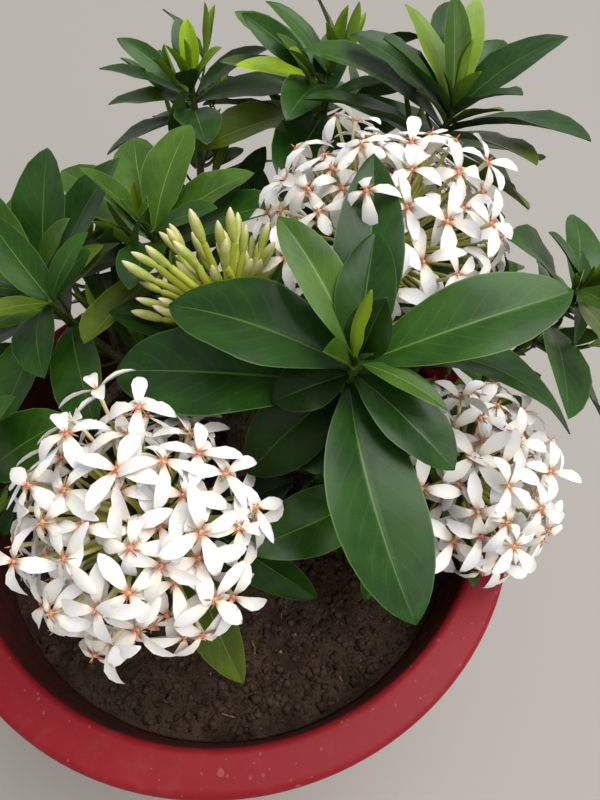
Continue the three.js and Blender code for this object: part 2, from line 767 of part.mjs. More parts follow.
// The plant: limbs, stems and stalks, then the leaves that are listed one by one, then blossom, then leaf
// pairs and twigs. What grows later makes room for what is there.
function growPlant() {
  const curves = new Map([["trunk", trunkCurve()]]);
  for (const shoot of SHOOTS) curves.set(shoot.name, shootCurve(shoot, curves));
  growLimbs(curves);
  const masses = SHOOTS.map((shoot, index) => ({
    shoot,
    curve: curves.get(shoot.name),
    foliage: "foliage_" + shoot.name,
    blossom: shoot.blossom && BLOSSOM_NODE[shoot.blossom] + shoot.name,
    random: randomFrom(index + 1),
  }));
  for (const { shoot, curve, foliage, blossom } of masses) {
    keep(foliage, stemSolid(shoot, curve));
    if (blossom) keep(blossom, stalkSolid(shoot, curve));
  }
  const listed = masses.filter(({ shoot }) => shoot.leaves);
  for (const { shoot, curve, foliage } of listed) growLeaves(foliage, shoot, curve, shoot.leaves);
  for (const mass of masses) growBlossom(mass);
  for (const mass of masses.filter(({ shoot }) => shoot.pairs)) growPairs(mass);
}

// One named mesh, with its geometry measured from the lowest point of its own middle.
function meshOf(name, solids, colour) {
  const solid = largestBody(solids.length > 1 ? wasm.Manifold.union(solids) : solids[0]);
  const { min, max } = solid.boundingBox();
  const place = new THREE.Vector3((min[0] + max[0]) / 2, (min[1] + max[1]) / 2, min[2]);
  const geometry = geometryOf(solid).translate(-place.x, -place.y, -place.z);
  const mesh = new THREE.Mesh(geometry, new THREE.MeshStandardMaterial(colour));
  mesh.name = name;
  mesh.position.copy(place);
  return mesh;
}

// A node's colour, by the first word of its name.
function colourOf(node) {
  const kind = node.split("_")[0];
  return COLOURS[kind] ?? COLOURS.bark;
}

const planter = new THREE.Group();
const plant = new THREE.Group();
keep("pot", potSolid());
keep("soil", soilSolid());
growPlant();
for (const node of new Set(grown.map((piece) => piece.node))) {
  const solids = grown.filter((piece) => piece.node === node).map((piece) => piece.solid);
  const group = node === "pot" || node === "soil" ? planter : plant;
  group.add(meshOf(node, solids, colourOf(node)));
}

const pottedShrub = new THREE.Group();
pottedShrub.add(planter, plant);
export default pottedShrub;
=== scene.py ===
# %% [markdown]
# # A flowering shrub in a red pot
# The plant is a young evergreen shrub with round heads of white, four-petalled stars. It stands in a
# round plastic pot of dark soil. The scene is built from the ground up: the fixed frame and the camera,
# then the rule that the plant grows by, its wood, leaves, flowers and buds, the pot and the soil, and
# last the light. Lengths in the rule are in millimetres, as in the solid model, and become metres only
# where a mesh is made.

import json
from collections import namedtuple
from math import atan2, cos, exp, pi, radians, sin, sqrt, tan
from types import SimpleNamespace as Sizes

import bmesh
import bpy
import numpy as np
from mathutils import Matrix, Vector, noise
from mathutils.bvhtree import BVHTree

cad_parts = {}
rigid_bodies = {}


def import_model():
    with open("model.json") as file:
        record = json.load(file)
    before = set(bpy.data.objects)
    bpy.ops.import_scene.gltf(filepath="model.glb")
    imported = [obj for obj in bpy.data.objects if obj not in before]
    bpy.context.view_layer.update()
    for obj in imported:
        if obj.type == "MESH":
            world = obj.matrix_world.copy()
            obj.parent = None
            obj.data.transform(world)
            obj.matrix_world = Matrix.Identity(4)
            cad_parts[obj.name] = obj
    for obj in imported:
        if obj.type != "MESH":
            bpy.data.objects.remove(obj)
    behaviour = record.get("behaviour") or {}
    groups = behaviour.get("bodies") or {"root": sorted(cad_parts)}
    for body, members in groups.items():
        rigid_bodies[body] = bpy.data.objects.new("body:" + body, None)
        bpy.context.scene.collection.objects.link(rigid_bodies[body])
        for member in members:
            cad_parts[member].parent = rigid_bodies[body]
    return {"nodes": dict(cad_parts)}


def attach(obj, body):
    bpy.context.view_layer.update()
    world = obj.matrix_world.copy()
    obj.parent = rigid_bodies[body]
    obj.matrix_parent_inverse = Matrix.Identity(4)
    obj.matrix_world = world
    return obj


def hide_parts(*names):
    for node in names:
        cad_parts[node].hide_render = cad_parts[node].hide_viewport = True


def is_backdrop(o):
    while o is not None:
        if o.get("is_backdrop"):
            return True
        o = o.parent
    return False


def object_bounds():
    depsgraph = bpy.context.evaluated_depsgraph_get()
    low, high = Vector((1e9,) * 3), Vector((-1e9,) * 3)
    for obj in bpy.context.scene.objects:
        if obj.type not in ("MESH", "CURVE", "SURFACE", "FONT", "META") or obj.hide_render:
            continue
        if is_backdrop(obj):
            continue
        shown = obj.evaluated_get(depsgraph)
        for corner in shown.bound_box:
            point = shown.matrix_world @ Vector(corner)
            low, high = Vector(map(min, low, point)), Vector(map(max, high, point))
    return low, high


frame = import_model()
cad_low, cad_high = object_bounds()
MM = 0.001
scene = bpy.context.scene
print("solid model", [round(high - low, 3) for low, high in zip(cad_low, cad_high)])

# %% [markdown]
# ## The camera
# The picture was taken from above and in front, looking down on the plant. Its place and its turn were
# worked out from the round rim of the pot, so they are set as numbers: a compass turn, a tilt down, a
# small roll, and a lens.

# %% The camera
EYE = Vector((0.0, -0.1374, 0.4737))
YAW, PITCH, ROLL = radians(12.8), radians(55.0), radians(3.5)
LENS = 27.05


def camera_axes(yaw, pitch, roll):
    """The right, up and forward directions of a camera that is turned, tilted down and rolled."""
    forward = Vector((sin(yaw) * cos(pitch), cos(yaw) * cos(pitch), -sin(pitch)))
    level = Vector((cos(yaw), -sin(yaw), 0))
    upright = level.cross(forward)
    right = cos(roll) * level + sin(roll) * upright
    up = cos(roll) * upright - sin(roll) * level
    return right, up, forward


right, up, forward = camera_axes(YAW, PITCH, ROLL)
camera = bpy.data.objects.new("camera", bpy.data.cameras.new("camera"))
camera.data.lens = LENS
camera.data.sensor_width = 36
camera.data.clip_start = 0.01
turn = Matrix((right, up, -forward)).transposed().to_4x4()
camera.matrix_world = Matrix.Translation(EYE) @ turn
scene.collection.objects.link(camera)
scene.camera = camera
print("camera at", tuple(EYE), "lens", LENS)

# %% [markdown]
# ## Helpers for node trees
# Node trees for shapes and for materials are both built in code. One helper adds a node and fills its
# sockets by name: a plain value is set, and what comes out of another node is linked. A rule of many
# steps is hard to read as nested calls, so what comes out of a node is wrapped as a value, and plain
# arithmetic on it adds the nodes that do the same sum.


# %% Values in a node tree
class Value:
    """What comes out of a node. Arithmetic on it adds the nodes that work it out."""

    def __init__(self, socket):
        self.socket, self.tree = socket, socket.id_data

    def __add__(self, other):
        return calc("ADD", self, other)

    def __sub__(self, other):
        return calc("SUBTRACT", self, other)

    def __rsub__(self, other):
        return calc("SUBTRACT", other, self)

    def __mul__(self, other):
        return calc("MULTIPLY", self, other)

    def __truediv__(self, other):
        return calc("DIVIDE", self, other)

    def __pow__(self, other):
        return calc("POWER", self, other)

    def __abs__(self):
        return calc("ABSOLUTE", self)

    __radd__, __rmul__ = __add__, __mul__


# %% Nodes, their sockets and arithmetic
def feed(socket, value):
    """Links a value to a socket, or sets the socket to a plain number, vector, colour or thing."""
    if isinstance(value, Value):
        value.tree.links.new(value.socket, socket)
    else:
        socket.default_value = (*value, 1) if socket.type == "RGBA" else value


def add_node(tree, kind, values=None, **settings):
    """Adds a node, applies its settings and fills those of its named inputs that are in use."""
    node = tree.nodes.new(kind)
    for name, value in settings.items():
        setattr(node, name, value)
    for name, value in (values or {}).items():
        feed(next(socket for socket in node.inputs if socket.name == name and socket.enabled), value)
    return node


def value_from(tree, kind, output=0, values=None, **settings):
    """Adds a node and gives one of its outputs, by number or name."""
    return Value(add_node(tree, kind, values, **settings).outputs[output])


def outputs_of(node):
    """All that comes out of a node, by name."""
    return {socket.name: Value(socket) for socket in node.outputs}


def calc(operation, *values):
    """One step of arithmetic on numbers, of which one at least comes out of a node."""
    tree = next(value.tree for value in values if isinstance(value, Value))
    node = add_node(tree, "ShaderNodeMath", operation=operation)
    for socket, value in zip(node.inputs, values):
        feed(socket, value)
    return Value(node.outputs[0])


def vector_calc(operation, first, second):
    """One step of arithmetic on vectors. To scale, the second value is a number."""
    node = add_node(first.tree, "ShaderNodeVectorMath", operation=operation)
    feed(node.inputs[0], first)
    feed(node.inputs["Scale"] if operation == "SCALE" else node.inputs[1], second)
    return Value(node.outputs[0])


def parts_of(vector):
    """The three numbers of a vector."""
    return [Value(socket) for socket in add_node(
        vector.tree, "ShaderNodeSeparateXYZ", {"Vector": vector}).outputs]


def combined(x, y, z):
    """A vector of three numbers, of which the last comes out of a node."""
    return value_from(z.tree, "ShaderNodeCombineXYZ", 0, {"X": x, "Y": y, "Z": z})


# %% Helpers that make and run a tree for shapes
def attribute(tree, name, data_type="FLOAT"):
    """A named attribute inside a tree for shapes."""
    return value_from(
        tree, "GeometryNodeInputNamedAttribute", "Attribute", {"Name": name}, data_type=data_type
    )


def new_tree(name, inputs):
    """A tree for shapes with named inputs after its geometry. inputs maps each name to its kind."""
    tree = bpy.data.node_groups.new(name, "GeometryNodeTree")
    for label, kind in {"Geometry": "Geometry", **inputs}.items():
        tree.interface.new_socket(label, in_out="INPUT", socket_type="NodeSocket" + kind)
    tree.interface.new_socket("Geometry", in_out="OUTPUT", socket_type="NodeSocketGeometry")
    return tree, outputs_of(tree.nodes.new("NodeGroupInput"))


def end_tree(geometry, given):
    """Ends a tree: real geometry in place of instances, smooth shading, and its one material."""
    tree = geometry.tree
    real = value_from(tree, "GeometryNodeRealizeInstances", 0, {"Geometry": geometry})
    smooth = value_from(tree, "GeometryNodeSetShadeSmooth", 0, {"Geometry": real})
    values = {"Geometry": smooth, "Material": given["Material"]}
    finished = value_from(tree, "GeometryNodeSetMaterial", 0, values)
    feed(tree.nodes.new("NodeGroupOutput").inputs[0], finished)
    print("tree", tree.name, "with", len(tree.nodes), "nodes")


# %% From a tree to a plain mesh
def new_piece(name, data):
    """A new object in the scene."""
    piece = bpy.data.objects.new(name, data)
    scene.collection.objects.link(piece)
    return piece


def plain_mesh(piece):
    """A piece's final mesh, with its modifiers applied."""
    graph = bpy.context.evaluated_depsgraph_get()
    return bpy.data.meshes.new_from_object(piece.evaluated_get(graph))


def one_material(mesh, material):
    """Leaves a mesh with one material, on all its faces."""
    mesh.materials.clear()
    mesh.materials.append(material)
    mesh.polygons.foreach_set("material_index", [0] * len(mesh.polygons))


def run_tree(name, source, tree, values):
    """Runs a tree on a mesh and keeps the result as the plain mesh of a new object."""
    piece = new_piece(name, source)
    modifier = piece.modifiers.new("tree", "NODES")
    modifier.node_group = tree
    for item in tree.interface.items_tree:
        if item.in_out == "INPUT" and item.name in values:
            modifier[item.identifier] = values[item.name]
    made = plain_mesh(piece)
    piece.modifiers.remove(modifier)
    piece.data = made
    made.name = name
    one_material(made, values["Material"])
    print(name, len(made.polygons), "faces")
    return piece


# %% [markdown]
# ## Helpers for materials
# Every finish is one Principled shader with node groups in front of it. An effect that several
# finishes share is a group with named sockets, built once and placed with its own values. The first
# one lets a colour drift softly from place to place, as it does on every grown or moulded thing.


# %% Helpers for materials
def new_material(name, constants):
    """A material, its tree and its shader. Constants go straight to the shader's sockets."""
    material = bpy.data.materials.new(name)
    material.use_nodes = True
    shader = material.node_tree.nodes["Principled BSDF"]
    for label, value in constants.items():
        feed(shader.inputs[label], value)
    print("finish", name)
    return material, material.node_tree, shader


def new_group(name, inputs, outputs):
    """A shader group, its inputs and its output sockets. inputs maps each name to its kind and value."""
    group = bpy.data.node_groups.new(name, "ShaderNodeTree")
    for label, (kind, value) in inputs.items():
        made = group.interface.new_socket(label, in_out="INPUT", socket_type="NodeSocket" + kind)
        if value is not None:
            made.default_value = value
    for label, kind in outputs.items():
        group.interface.new_socket(label, in_out="OUTPUT", socket_type="NodeSocket" + kind)
    print("group", name)
    return group, outputs_of(group.nodes.new("NodeGroupInput")), group.nodes.new("NodeGroupOutput").inputs


def place_group(tree, group, values):
    """Places a shader group in a material and gives all that comes out of it, by name."""
    node = tree.nodes.new("ShaderNodeGroup")
    node.node_tree = group
    for name, value in values.items():
        feed(node.inputs[name], value)
    return outputs_of(node)


# %% Blends, steps, noise and relief
def blend(share, first, second):
    """A colour between two colours, by a share."""
    node = add_node(share.tree, "ShaderNodeMix", data_type="RGBA", clamp_factor=True)
    for number, value in ((0, share), (6, first), (7, second)):
        feed(node.inputs[number], value)
    return Value(node.outputs[2])


def step_between(value, low, high):
    """A soft step: 0 where the value is low, 1 where it is high."""
    limits = {"Value": value, "From Min": low, "From Max": high}
    return value_from(value.tree, "ShaderNodeMapRange", 0, limits, interpolation_type="SMOOTHSTEP")


def object_place(tree):
    """Object coordinates, which stay with the piece."""
    return value_from(tree, "ShaderNodeTexCoord", "Object")


def noise_at(place, scale, detail=2.0, roughness=0.5):
    """A cloudy noise from 0 to 1."""
    values = {"Vector": place, "Scale": scale, "Detail": detail, "Roughness": roughness}
    return value_from(place.tree, "ShaderNodeTexNoise", 0, values)


def dots_at(place, scale):
    """How far a place is from the nearest of many scattered dots."""
    return value_from(place.tree, "ShaderNodeTexVoronoi", "Distance", {"Vector": place, "Scale": scale})


def bump(shader, height, strength, distance):
    """Relief in the shading, from a height."""
    values = {"Strength": strength, "Distance": distance, "Height": height}
    feed(shader.inputs["Normal"], value_from(shader.id_data, "ShaderNodeBump", 0, values))


# %% The group that lets two colours drift
COLOUR = "Color"
drift_group, given, put_out = new_group(
    "Drift",
    {"Place": ("Vector", None), "Scale": ("Float", 40.0), "Amount": ("Float", 0.5),
     COLOUR: ("Color", (0.5, 0.5, 0.5, 1)), "Other": ("Color", (0.4, 0.4, 0.4, 1))},
    {COLOUR: "Color"},
)
patch = step_between(noise_at(given["Place"], given["Scale"], 3.0, 0.55), 0.36, 0.64)
feed(put_out[COLOUR], blend(patch * given["Amount"], given[COLOUR], given["Other"]))


def drifting(place, scale, amount, first, second):
    """Two colours that drift into each other in soft patches."""
    values = {"Place": place, "Scale": scale, "Amount": amount, COLOUR: first, "Other": second}
    return place_group(place.tree, drift_group, values)[COLOUR]

# %% [markdown]
# ## The rule of the plant
# The solid model grows by a short rule, and the scene grows by the same one. Every shoot is a curve
# from its parent limb to its tip. Leaves stand in crossed pairs, and from the tip down each pair is
# older, longer and more open. Flower heads and buds spread over a cap by the golden turn. The same
# seeded random numbers make small differences from leaf to leaf.

# %% Sizes of the wood
POT = Sizes(height=225, rim=130, mouth=114, foot=88, wall=3, skirt=30, edge=3, holes=5, hole=6, ring=52)
SOIL_LEVEL, SOIL_FLAT, SOIL_DROP, GAP = 197, 50, 4, 0.3
TRUNK = Sizes(
    foot=(6, 12), top=(11, 16, 240), foot_radius=9, top_radius=7.5, flare=0.65, flare_height=14, lobes=5
)
LIMB = Sizes(root=4.4, tip=2.3, branch=0.75)
STEM_TIP, STALK, BLOSSOM_RANK, GOLDEN_TURN = 1.4, 13, 2, 137.5
TWIG = Sizes(
    radius=1.2, tip=0.8, first=0.2, next=0.3, range=0.1, open=52, arch=25, turn_range=30, length=30,
    length_range=0.3, pairs=2, rank=1, leaf=0.8
)
LEAF = Sizes(offset=0.7, width=0.42, fold=14, young_open=45, young_fold=0.8, bend=26, full_bend=60)
PAIR = Sizes(
    first=10, full=102, rate=0.62, young=0.42, growth=0.2, young_width=0.28, width_growth=0.05,
    spacing=1.4, lift=2, jitter=9
)
ATTITUDES = ((0, 0), (14, 0), (-14, 0), (0, -16), (0, 12), (18, -18), (-18, -18))
print("pot", POT.height, "mm high, rim radius", POT.rim, "mm")

# %% The leaves that are listed one by one
# A listed leaf has its turn, opening, length, width and drop below the tip of its shoot.
LISTED = {
    "centre": (
        (-84, 95, 82, 34, 18), (148, 100, 69, 34, 9), (162, 115, 88, 38, 22), (115, 70, 54, 17, 4),
        (78, 70, 76, 24, 8), (76, 60, 42, 20, 3), (7, 71, 74, 28, 6), (-21, 82, 86, 27, 20),
        (-46, 78, 32, 9, 4), (-54, 90, 46, 22, 12), (80, 10, 34, 9, 0), (57, 26, 26, 8, 1),
        (-175, 42, 18, 8, 2), (-168, 104, 28, 18, 12), (-144, 112, 44, 26, 26),
    ),
    "front": (
        (-67, 74, 64, 24, 32), (-43, 106, 62, 21, 35), (110, 100, 46, 18, 17), (12, 100, 48, 18, 21),
        (192, 95, 48, 18, 21),
    ),
    "low_front": (
        (185, 95, 62, 26, 5), (-85, 110, 44, 20, 12), (80, 95, 46, 20, 12), (100, 30, 24, 10, 0),
        (-80, 30, 26, 10, 0),
    ),
    "buds": (
        (36, 45, 50, 22, 18), (176, 62, 62, 26, 22),
    ),
    "back": (
        (130, 76, 62, 25, 8), (93, 75, 58, 25, 6), (57, 78, 54, 23, 6), (12, 72, 54, 23, 9),
        (170, 92, 52, 24, 18), (-5, 100, 56, 24, 20),
    ),
    "left": (
        (66, 58, 64, 28, 8), (108, 58, 60, 24, 6), (40, 58, 70, 27, 12), (32, 78, 34, 13, 5),
        (165, 62, 34, 12, 6), (25, 92, 50, 22, 13), (-125, 100, 58, 26, 16), (180, 68, 48, 22, 16),
    ),
    "far_back": (
        (160, 79, 76, 32, 16), (146, 72, 58, 25, 8), (83, 66, 56, 25, 5), (118, 60, 50, 15, 3),
        (71, 54, 50, 15, 3), (48, 55, 52, 21, 9), (29, 64, 52, 21, 13), (-169, 55, 28, 11, 12),
        (-93, 24, 28, 10, 2), (-70, 50, 34, 13, 12), (-79, 72, 64, 24, 20), (6, 110, 66, 29, 24),
    ),
    "rear": (
        (-170, 112, 74, 33, 26), (134, 76, 64, 27, 12), (160, 85, 58, 25, 18), (165, 80, 48, 14, 6),
    ),
    "rear_left": (
        (80, 29, 30, 11, 0), (-161, 21, 28, 10, 1), (-13, 27, 28, 10, 1), (180, 88, 44, 20, 10),
        (0, 88, 56, 24, 12), (-165, 104, 52, 25, 22),
    ),
}
print(sum(map(len, LISTED.values())), "listed leaves")

# %% The shoots
# Where a shoot leaves its parent and turns green are shares of a limb. Its own pairs of leaves have
# a number, a length and a first turn, and twigs. A head has a kind, a count, a spread and a cap.
Shoot = namedtuple(
    "Shoot", "name parent at bare tip axis pairs leaf start twigs blossom count spread cap",
    defaults=(0, 0, 0, 0, "", 0, 0, 0),
)
SHOOTS = [Shoot(*row) for row in (
    ("centre", "trunk", 0.97, 0.5, (45, -22, 325), (0.06, -0.12, 1)),
    ("front", "trunk", 0.55, 0.5, (-30, -46, 276), (-0.32, -0.2, 0.92), 0, 0, 0, 0, "open", 30, 41, 92),
    ("buds", "trunk", 0.99, 0.45, (10, 20, 297), (-0.5, 0.4, 0.77), 2, 62, 20, 0, "bud", 24, 49, 62),
    ("right", "trunk", 0.5, 0.6, (95, -31, 246), (0.22, -0.2, 0.92), 2, 60, 60, 0, "open", 26, 39, 88),
    ("back_right", "trunk", 0.85, 0.5, (71, 50, 301), (0.12, 0.1, 1), 3, 68, 30, 1, "open", 33, 53, 88),
    ("back", "trunk", 0.9, 0.5, (-22, 82, 298), (-0.1, -0.1, 1), 6, 64, 75, 1),
    ("left", "trunk", 0.75, 0.5, (-72, 62, 288), (-0.25, -0.1, 1), 5, 66, 100, 2),
    ("far_back", "back_right", 0.4, 0.4, (121, 114, 328), (0.05, -0.15, 1), 6, 72, 10, 1),
    ("rear", "back", 0.34, 0.45, (73, 160, 322), (0, -0.15, 1), 6, 72, 50, 2),
    ("rear_left", "back", 0.38, 0.5, (4, 182, 308), (-0.05, -0.1, 1), 6, 58, 5, 1),
    ("far_right", "right", 0.42, 0.4, (156, 22, 298), (0.2, -0.1, 1), 6, 62, 70, 2),
    ("low_front", "front", 0.42, 0.5, (58, -34, 252), (0.3, -0.15, 1)),
    ("low_left", "left", 0.42, 0.5, (-112, -6, 262), (-0.4, -0.15, 0.9), 5, 60, 20, 1),
    ("rear_right", "far_back", 0.35, 0.5, (112, 132, 262), (0.4, 0.5, 0.75), 2, 62, 60, 1,
     "open", 17, 38, 86),
    ("back_left", "left", 0.45, 0.5, (-66, 124, 264), (-0.25, 0.35, 1), 5, 64, 80, 1),
    ("low_right", "right", 0.45, 0.5, (132, 70, 262), (0.45, 0.2, 0.9), 5, 60, 30, 1),
)]
print(len(SHOOTS), "shoots")

# %% [markdown]
# ### Curves, directions and seeded numbers
# A quadratic Bezier curve is enough for a limb: where it starts, an elbow, and where it ends. A frame
# at a point of it gives three directions, and a turn and an opening in that frame give the way in which
# a leaf or a flower stands. The random numbers are a small well-known mixer, because it gives the same
# numbers in any language.

# %% Curves
WORD, CURVE_STEPS, ARM = 0xFFFFFFFF, 200, 0.45
Frame = namedtuple("Frame", "origin axis east north")


class Curve:
    """A quadratic Bezier curve in millimetres."""

    def __init__(self, start, elbow, end):
        self.corners = [Vector(start), Vector(elbow), Vector(end)]
        steps = [self.point(step / CURVE_STEPS) for step in range(CURVE_STEPS + 1)]
        self.length = sum((b - a).length for a, b in zip(steps, steps[1:]))

    def point(self, share):
        start, elbow, end = self.corners
        return (1 - share) ** 2 * start + 2 * (1 - share) * share * elbow + share**2 * end

    def tangent(self, share):
        start, elbow, end = self.corners
        return ((1 - share) * (elbow - start) + share * (end - elbow)).normalized()

    def frame(self, share):
        axis = self.tangent(share)
        east = (Vector((1, 0, 0)) - axis.x * axis).normalized()
        return Frame(self.point(share), axis, east, axis.cross(east))


# %% Directions and seeded numbers
def outward(place, turn, opening):
    """The direction that leaves a frame's axis by an opening, at a turn round it."""
    side = cos(radians(turn)) * place.east + sin(radians(turn)) * place.north
    return cos(radians(opening)) * place.axis + sin(radians(opening)) * side


def lerp(start, end, share):
    """The value at a share of the way from start to end."""
    return start + (end - start) * share


def random_from(seed):
    """Seeded random numbers from 0 to 1, the same as in the solid model."""
    state = seed

    def draw():
        nonlocal state
        state = (state + 0x6D2B79F5) & WORD
        mixed = ((state ^ (state >> 15)) * (state | 1)) & WORD
        mixed ^= (mixed + (mixed ^ (mixed >> 7)) * (mixed | 61)) & WORD
        return (mixed ^ (mixed >> 14)) / 4294967296

    return draw


# %% The middle lines of the trunk and the shoots
def trunk_curve():
    """The trunk's middle line, from the soil to its fork."""
    x, y = TRUNK.foot
    top = Vector(TRUNK.top)
    foot = Vector((x, y, SOIL_LEVEL + GAP))
    return Curve(foot, (x, y, lerp(foot.z, top.z, 0.5)), top)


def shoot_curve(shoot):
    """A shoot's middle line, from its parent limb to its tip."""
    start = curves[shoot.parent].point(shoot.at)
    tip = Vector(shoot.tip)
    axis = Vector(shoot.axis).normalized()
    return Curve(start, tip - ARM * (tip - start).length * axis, tip)


curves = {"trunk": trunk_curve()}
for shoot in SHOOTS:
    curves[shoot.name] = shoot_curve(shoot)
print("the longest shoot is", round(max(curve.length for curve in curves.values())), "mm")

# %% [markdown]
# ### Which leaves grow
# In the solid model a leaf tries a few attitudes and takes the first with room round it, or is left
# out. Instead of testing the room again, the scene asks the solid model: an attitude is the one that
# was taken if the leaf's tip and edges lie on the surface of the shoot's solid.

# %% One leaf by the rule
Leaf = namedtuple("Leaf", "shoot listed root along up open length width fold bend")
NEAR_LEAF, NEAR_TWIG, SHOULDER = 0.12, 1.0, (0.66, 0.96)


def surface_of(node):
    """A search tree over a node's surface, in metres."""
    mesh = frame["nodes"][node].data
    return BVHTree.FromPolygons([v.co for v in mesh.vertices], [p.vertices[:] for p in mesh.polygons])


def distance_to(surface, point):
    """How far a point in millimetres is from a surface."""
    return surface.find_nearest(point * MM)[3] / MM


def leaf_at(shoot, listed, place, turn, opening, length, width):
    """A leaf's root, directions and shape."""
    fold = LEAF.fold + LEAF.young_fold * max(0, LEAF.young_open - opening)
    return Leaf(
        shoot, listed, place.origin + LEAF.offset * outward(place, turn, 90),
        outward(place, turn, opening), outward(place, turn, opening - 90), opening, length, width,
        radians(fold), radians(LEAF.bend * min(1, opening / LEAF.full_bend)),
    )


# %% Whether the solid model has a leaf
def on_blade(leaf, share, across=0.0):
    """A point of a leaf's blade at a share of its length, and across it as a share of half its width."""
    slope = leaf.bend / 2 - leaf.bend * share
    forth = leaf.length * (sin(leaf.bend / 2) - sin(slope)) / leaf.bend
    rise = leaf.length * (cos(slope) - cos(leaf.bend / 2)) / leaf.bend
    normal = cos(slope) * leaf.up - sin(slope) * leaf.along
    side = leaf.up.cross(leaf.along)
    half = leaf.width / 2 * across
    return (leaf.root + forth * leaf.along + rise * leaf.up + half * cos(leaf.fold) * side
            + abs(half) * sin(leaf.fold) * normal)


def stands(surface, leaf):
    """Whether the solid model has this leaf in this attitude."""
    share, half = SHOULDER
    edges = [on_blade(leaf, 1), on_blade(leaf, share, half), on_blade(leaf, share, -half)]
    return all(distance_to(surface, edge) < NEAR_LEAF for edge in edges)


# %% Pairs of leaves, and side twigs
def paired_leaves(pairs, rank, leaf, start, lowered, draw):
    """Crossed pairs down from the tip: turn, opening, length, width and drop of each leaf."""
    leaves = []
    for pair in range(pairs):
        age = pair + rank
        opening = PAIR.first + (PAIR.full - PAIR.first) * (1 - exp(-PAIR.rate * age))
        length = leaf * min(1, PAIR.young + PAIR.growth * age)
        width = length * min(LEAF.width, PAIR.young_width + PAIR.width_growth * age)
        drop = PAIR.spacing * age * (age + 1) - PAIR.lift * rank + lowered
        for half in (0, 180):
            turned = start + 90 * pair + half + (2 * draw() - 1) * PAIR.jitter
            leaves.append((turned, opening + (2 * draw() - 1) * PAIR.jitter, length, width, drop))
    return leaves


def grow_leaves(shoot, curve, surface, rows, listed=False):
    """The leaves of a stem that the solid model has. A listed one keeps its number, from 1."""
    found = []
    for number, (turned, opening, length, width, drop) in enumerate(rows, 1):
        place = curve.frame(max(0, 1 - drop / curve.length))
        for more_turn, more_open in ATTITUDES:
            leaf = leaf_at(shoot.name, number if listed else 0, place, turned + more_turn,
                           opening + more_open, length, width)
            if stands(surface, leaf):
                found.append(leaf)
                break
    return found


def twig_curve(shoot, number, curve, draw):
    """A side twig's middle line and the turn at which it leaves its shoot."""
    along = TWIG.first + TWIG.next * number + TWIG.range * draw()
    place = curve.frame(lerp(shoot.bare, 1, along))
    turned = shoot.start + 45 + number * GOLDEN_TURN + TWIG.turn_range * draw()
    reach = TWIG.length * (1 + TWIG.length_range * (draw() - 0.5))
    elbow = place.origin + reach / 2 * outward(place, turned, TWIG.open + TWIG.arch)
    return Curve(place.origin, elbow, place.origin + reach * outward(place, turned, TWIG.open)), turned


# %% Every leaf and twig of the solid model
leaves, twigs, heads = [], [], []
for index, shoot in enumerate(SHOOTS):
    draw = random_from(index + 1)
    curve = curves[shoot.name]
    surface = surface_of("foliage_" + shoot.name)
    leaves += grow_leaves(shoot, curve, surface, LISTED.get(shoot.name, ()), listed=True)
    if shoot.blossom:
        heads.append(shoot)
        for _ in range(shoot.count):
            draw()  # The solid model draws a number for each of its flowers.
    if not shoot.pairs:
        continue
    first, lowered = (BLOSSOM_RANK, STALK) if shoot.blossom else (0, 0)
    rows = paired_leaves(shoot.pairs, first, shoot.leaf, shoot.start, lowered, draw)
    leaves += grow_leaves(shoot, curve, surface, rows)
    for number in range(shoot.twigs):
        path, turned = twig_curve(shoot, number, curve, draw)
        if any(distance_to(surface, path.point(share)) > NEAR_TWIG for share in (0.35, 0.65, 1)):
            continue
        twigs.append((shoot, path))
        rows = paired_leaves(TWIG.pairs, TWIG.rank, shoot.leaf * TWIG.leaf, turned + 90, 0, draw)
        leaves += grow_leaves(shoot, path, surface, rows)
print(len(leaves), "leaves and", len(twigs), "twigs stand where the solid model has them")

# %% [markdown]
# ## Wood: the trunk and its boughs
# The trunk is short and stout, flares into a few root lobes at the soil and forks low. Its bark is thin,
# grey-brown and finely cracked lengthways. Separate tubes would show hard seams at every fork, so the
# tubes of a small node tree and the trunk's own rings are joined, remeshed into one skin and smoothed.
# A second tree then lifts and lowers that skin by stretched noise, which gives real relief.

# %% A tree that draws tubes along paths
tube_tree, given = new_tree("Tubes", {"Sides": "Int", "Material": "Material"})
path = value_from(tube_tree, "GeometryNodeMeshToCurve", 0, {"Mesh": given["Geometry"]})
ring = value_from(
    tube_tree, "GeometryNodeCurvePrimitiveCircle", 0, {"Resolution": given["Sides"], "Radius": 1.0}
)
tube = value_from(
    tube_tree, "GeometryNodeCurveToMesh", 0,
    {"Curve": path, "Profile Curve": ring, "Scale": attribute(tube_tree, "girth"), "Fill Caps": True},
)
end_tree(tube, given)


# %% Paths for that tree
def store(mesh, columns):
    """Stores named numbers or vectors on a mesh, one for each of its points."""
    for name, column in columns.items():
        values = np.array(column, dtype=float)
        kind, field = ("FLOAT_VECTOR", "vector") if values.ndim == 2 else ("FLOAT", "value")
        mesh.attributes.new(name, kind, "POINT").data.foreach_set(field, values.ravel())


def path_mesh(name, paths):
    """Chains of edges. Each path is a list of points in millimetres, each with its radius."""
    mesh = bpy.data.meshes.new(name)
    edges, start = [], 0
    for path in paths:
        edges += [(start + step, start + step + 1) for step in range(len(path) - 1)]
        start += len(path)
    mesh.from_pydata([point * MM for path in paths for point, _ in path], edges, [])
    store(mesh, {
        "girth": [radius * MM for path in paths for _, radius in path],
        "along": [step / (len(path) - 1) for path in paths for step in range(len(path))],
    })
    return mesh


def path_along(curve, steps, radius):
    """A curve as a path. radius gives the radius at each share of it."""
    return [(curve.point(step / steps), radius(step / steps)) for step in range(steps + 1)]


def tubes_along(name, paths, sides, material):
    """One piece of tubes along paths."""
    return run_tree(name, path_mesh(name + " paths", paths), tube_tree,
                    {"Sides": sides, "Material": material})


# %% The paths of the boughs
BOUGH_STEPS = 12


